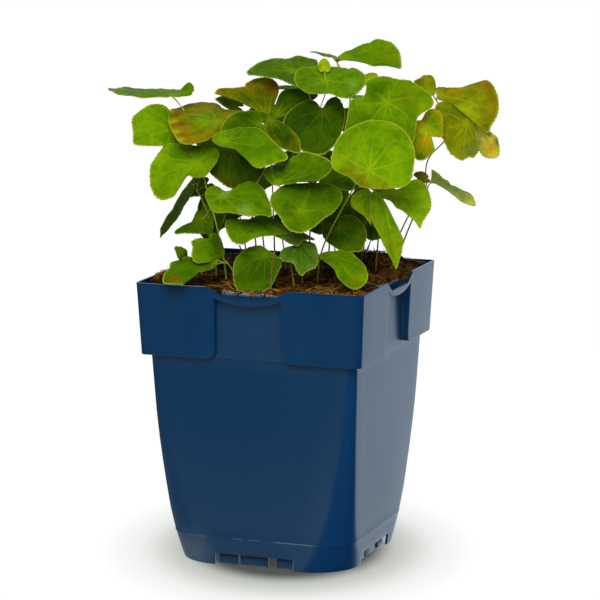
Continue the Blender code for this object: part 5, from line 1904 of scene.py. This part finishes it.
class BARRENWORT_OT_stems(bpy.types.Operator):
    """Builds the stem and stalks of every leafy stem"""

    bl_idname = "barrenwort.stems"
    bl_label = "Stems"

    def execute(self, context):
        settings = context.scene.barrenwort_plant
        finish = stem_material(settings)
        for number, way, leaflets in numbered_stems():
            node = f"leafy_stem_{number}"
            bm = make_stems(number, way, leaflets, settings)
            stems = finished(bm, f"stems_{number}", finish)
            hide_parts(node)
        return {"FINISHED"}


class BARRENWORT_OT_dry_stalks(bpy.types.Operator):
    """Builds last year's dead stalks"""

    bl_idname = "barrenwort.dry_stalks"
    bl_label = "Dry stalks"

    def execute(self, context):
        settings = context.scene.barrenwort_plant
        finish = straw_material()
        for node, way in DRY_STALKS.items():
            stalk = finished(make_dry_stalk(node, way, settings), f"straw_{node[-2:]}", finish)
            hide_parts(node)
        return {"FINISHED"}


def turned_to(obj, spot, direction):
    """Places an object and turns its -Z axis along a direction."""
    obj.location = spot
    obj.rotation_mode = "QUATERNION"
    obj.rotation_quaternion = direction.to_track_quat("-Z", "Y")


def soft_light(name, spot, width, height, power):
    """A rectangular light that shows in no reflection and points at the middle of the object."""
    data = bpy.data.lights.new(name, "AREA")
    data.shape = "RECTANGLE"
    data.size, data.size_y = width, height
    data.energy = power
    light = linked(name, data)
    turned_to(light, spot, Vector(LIT_SPOT) - Vector(spot))
    light.visible_glossy = False


def floor_material():
    """A white studio floor that glows to the camera away from the pot, so that it burns out to white, with a
    painted soft shadow round the pot where the glow fades.
    """
    made, wiring, shader = new_material(
        "white_sweep", Roughness=0.9, Specular_IOR_Level=0.0, Emission_Strength=1.0
    )
    spot = wiring.object_place()
    by_camera = wiring.node("LightPath").outputs["Is Camera Ray"]
    cloud = wiring.noise(spot, 2.0, 2.0)
    shade = wiring.mix(wiring.times(cloud, 0.2), (0.84, 0.84, 0.83), (0.80, 0.80, 0.79))
    around = wiring.fill(
        wiring.node("Mapping", vector_type="TEXTURE"),
        Vector=spot,
        Location=POT_AXIS,
        Rotation=(0, 0, VIEW_YAW),
        Scale=(1.0, HALO_STRETCH, 1.0),
    )
    distance = wiring.node("VectorMath", operation="LENGTH")
    wiring.put(around.outputs[0], distance.inputs[0])
    glow = 0.06
    for near, far, gained in HALO_STEPS:
        glow = wiring.math("ADD", wiring.ramp(distance.outputs["Value"], near, far, 0.0, gained), glow)
    tone = wiring.mix(glow, (0.95, 1.0, 0.90), (1, 1, 1))
    # Painted shadow: the camera sees a dark base and the glow, which fades near the pot into a soft shadow
    # that no lamp casts.
    wiring.fill(
        shader,
        Base_Color=wiring.mix(by_camera, shade, (0.06, 0.065, 0.055)),
        Emission_Color=wiring.mix(wiring.times(glow, by_camera), (0, 0, 0), tone),
    )
    return made


def surroundings(settings):
    """White where the camera sees them, bright behind the object in reflections, and dim as light."""
    world = bpy.data.worlds.new("surroundings")
    world.use_nodes = True
    wiring = Wiring(world.node_tree)
    east, north, up = wiring.apart(wiring.node("TexCoord").outputs["Generated"])
    # A white wall behind the object, and a faint one low on the left.
    behind = wiring.ramp(north, 0.62, 0.90, 0.0, 0.97)
    left = wiring.ramp(east, -0.02, -0.34)
    low = wiring.ramp(up, -0.15, -0.45, 0.0, 0.25)
    reflected = wiring.math("MAXIMUM", behind, wiring.times(left, low))
    path = wiring.node("LightPath").outputs
    strength = wiring.times(reflected, wiring.one_less(path["Is Diffuse Ray"]))
    strength = wiring.scaled(path["Is Diffuse Ray"], settings.ambient, strength)
    wiring.fill(
        world.node_tree.nodes["Background"],
        Color=wiring.mix(path["Is Camera Ray"], (0.86, 1.02, 1.16), (1, 1, 1)),
        Strength=wiring.math("MAXIMUM", strength, path["Is Camera Ray"]),
    )
    return world


class BARRENWORT_OT_stage(bpy.types.Operator):
    """Sets up the white floor, the soft lights, the surroundings and the camera"""

    bl_idname = "barrenwort.stage"
    bl_label = "Stage"

    def execute(self, context):
        settings = context.scene.barrenwort_stage
        scene = context.scene
        bm = bmesh.new()
        bmesh.ops.create_circle(bm, cap_ends=True, segments=64, radius=FLOOR_RADIUS)
        bmesh.ops.translate(bm, verts=bm.verts, vec=(0, 0, -FLOOR_DROP))
        mesh = mesh_of(bm, "floor")
        mesh.materials.append(floor_material())
        floor = linked("floor", mesh)
        floor.visible_glossy = False
        for name, (spot, width, height) in LIGHTS.items():
            soft_light(name, spot, width, height, getattr(settings, name))
        scene.world = surroundings(settings)
        scene.view_settings.view_transform = "Standard"
        scene.view_settings.look = "None"
        data = bpy.data.cameras.new("camera")
        data.lens, data.sensor_width = LENS, SENSOR
        data.clip_start, data.clip_end = 0.05, 30.0
        camera = linked("camera", data)
        eye, forward = view_ray(PHOTO_SIDE / 2, PHOTO_SIDE / 2)
        turned_to(camera, POT_AXIS + eye, forward)
        scene.camera = camera
        return {"FINISHED"}


OPERATORS = (
    BARRENWORT_OT_pot,
    BARRENWORT_OT_soil,
    BARRENWORT_OT_coir,
    BARRENWORT_OT_leaves,
    BARRENWORT_OT_stems,
    BARRENWORT_OT_dry_stalks,
    BARRENWORT_OT_stage,
)


class BARRENWORT_PT_panel(bpy.types.Panel):
    """Lists the pieces of the potted barrenwort"""

    bl_idname = "BARRENWORT_PT_panel"
    bl_label = "Barrenwort"
    bl_space_type = "VIEW_3D"
    bl_region_type = "UI"
    bl_category = "Barrenwort"

    def draw(self, context):
        for operator in OPERATORS:
            self.layout.operator(operator.bl_idname)
        for setting in SETTINGS:
            group = getattr(context.scene, setting)
            box = self.layout.box()
            for name in group.__annotations__:
                box.prop(group, name)


SETTINGS = {
    "barrenwort_pot": PotSettings,
    "barrenwort_soil": SoilSettings,
    "barrenwort_plant": PlantSettings,
    "barrenwort_stage": StageSettings,
}


def register():
    for group in SETTINGS.values():
        bpy.utils.register_class(group)
    for operator in OPERATORS:
        bpy.utils.register_class(operator)
    bpy.utils.register_class(BARRENWORT_PT_panel)
    for name, group in SETTINGS.items():
        setattr(bpy.types.Scene, name, PointerProperty(type=group))


def unregister():
    for name in SETTINGS:
        delattr(bpy.types.Scene, name)
    bpy.utils.unregister_class(BARRENWORT_PT_panel)
    for operator in reversed(OPERATORS):
        bpy.utils.unregister_class(operator)
    for group in reversed(list(SETTINGS.values())):
        bpy.utils.unregister_class(group)


def main():
    for obj in list(bpy.data.objects):
        if obj.name in ("Cube", "Light", "Camera"):
            bpy.data.objects.remove(obj)
    register()
    bpy.ops.barrenwort.stage()
    bpy.ops.barrenwort.pot()
    bpy.ops.barrenwort.soil()
    bpy.ops.barrenwort.coir()
    bpy.ops.barrenwort.leaves()
    bpy.ops.barrenwort.stems()
    bpy.ops.barrenwort.dry_stalks()
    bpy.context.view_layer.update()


if __name__ == "__main__":
    main()
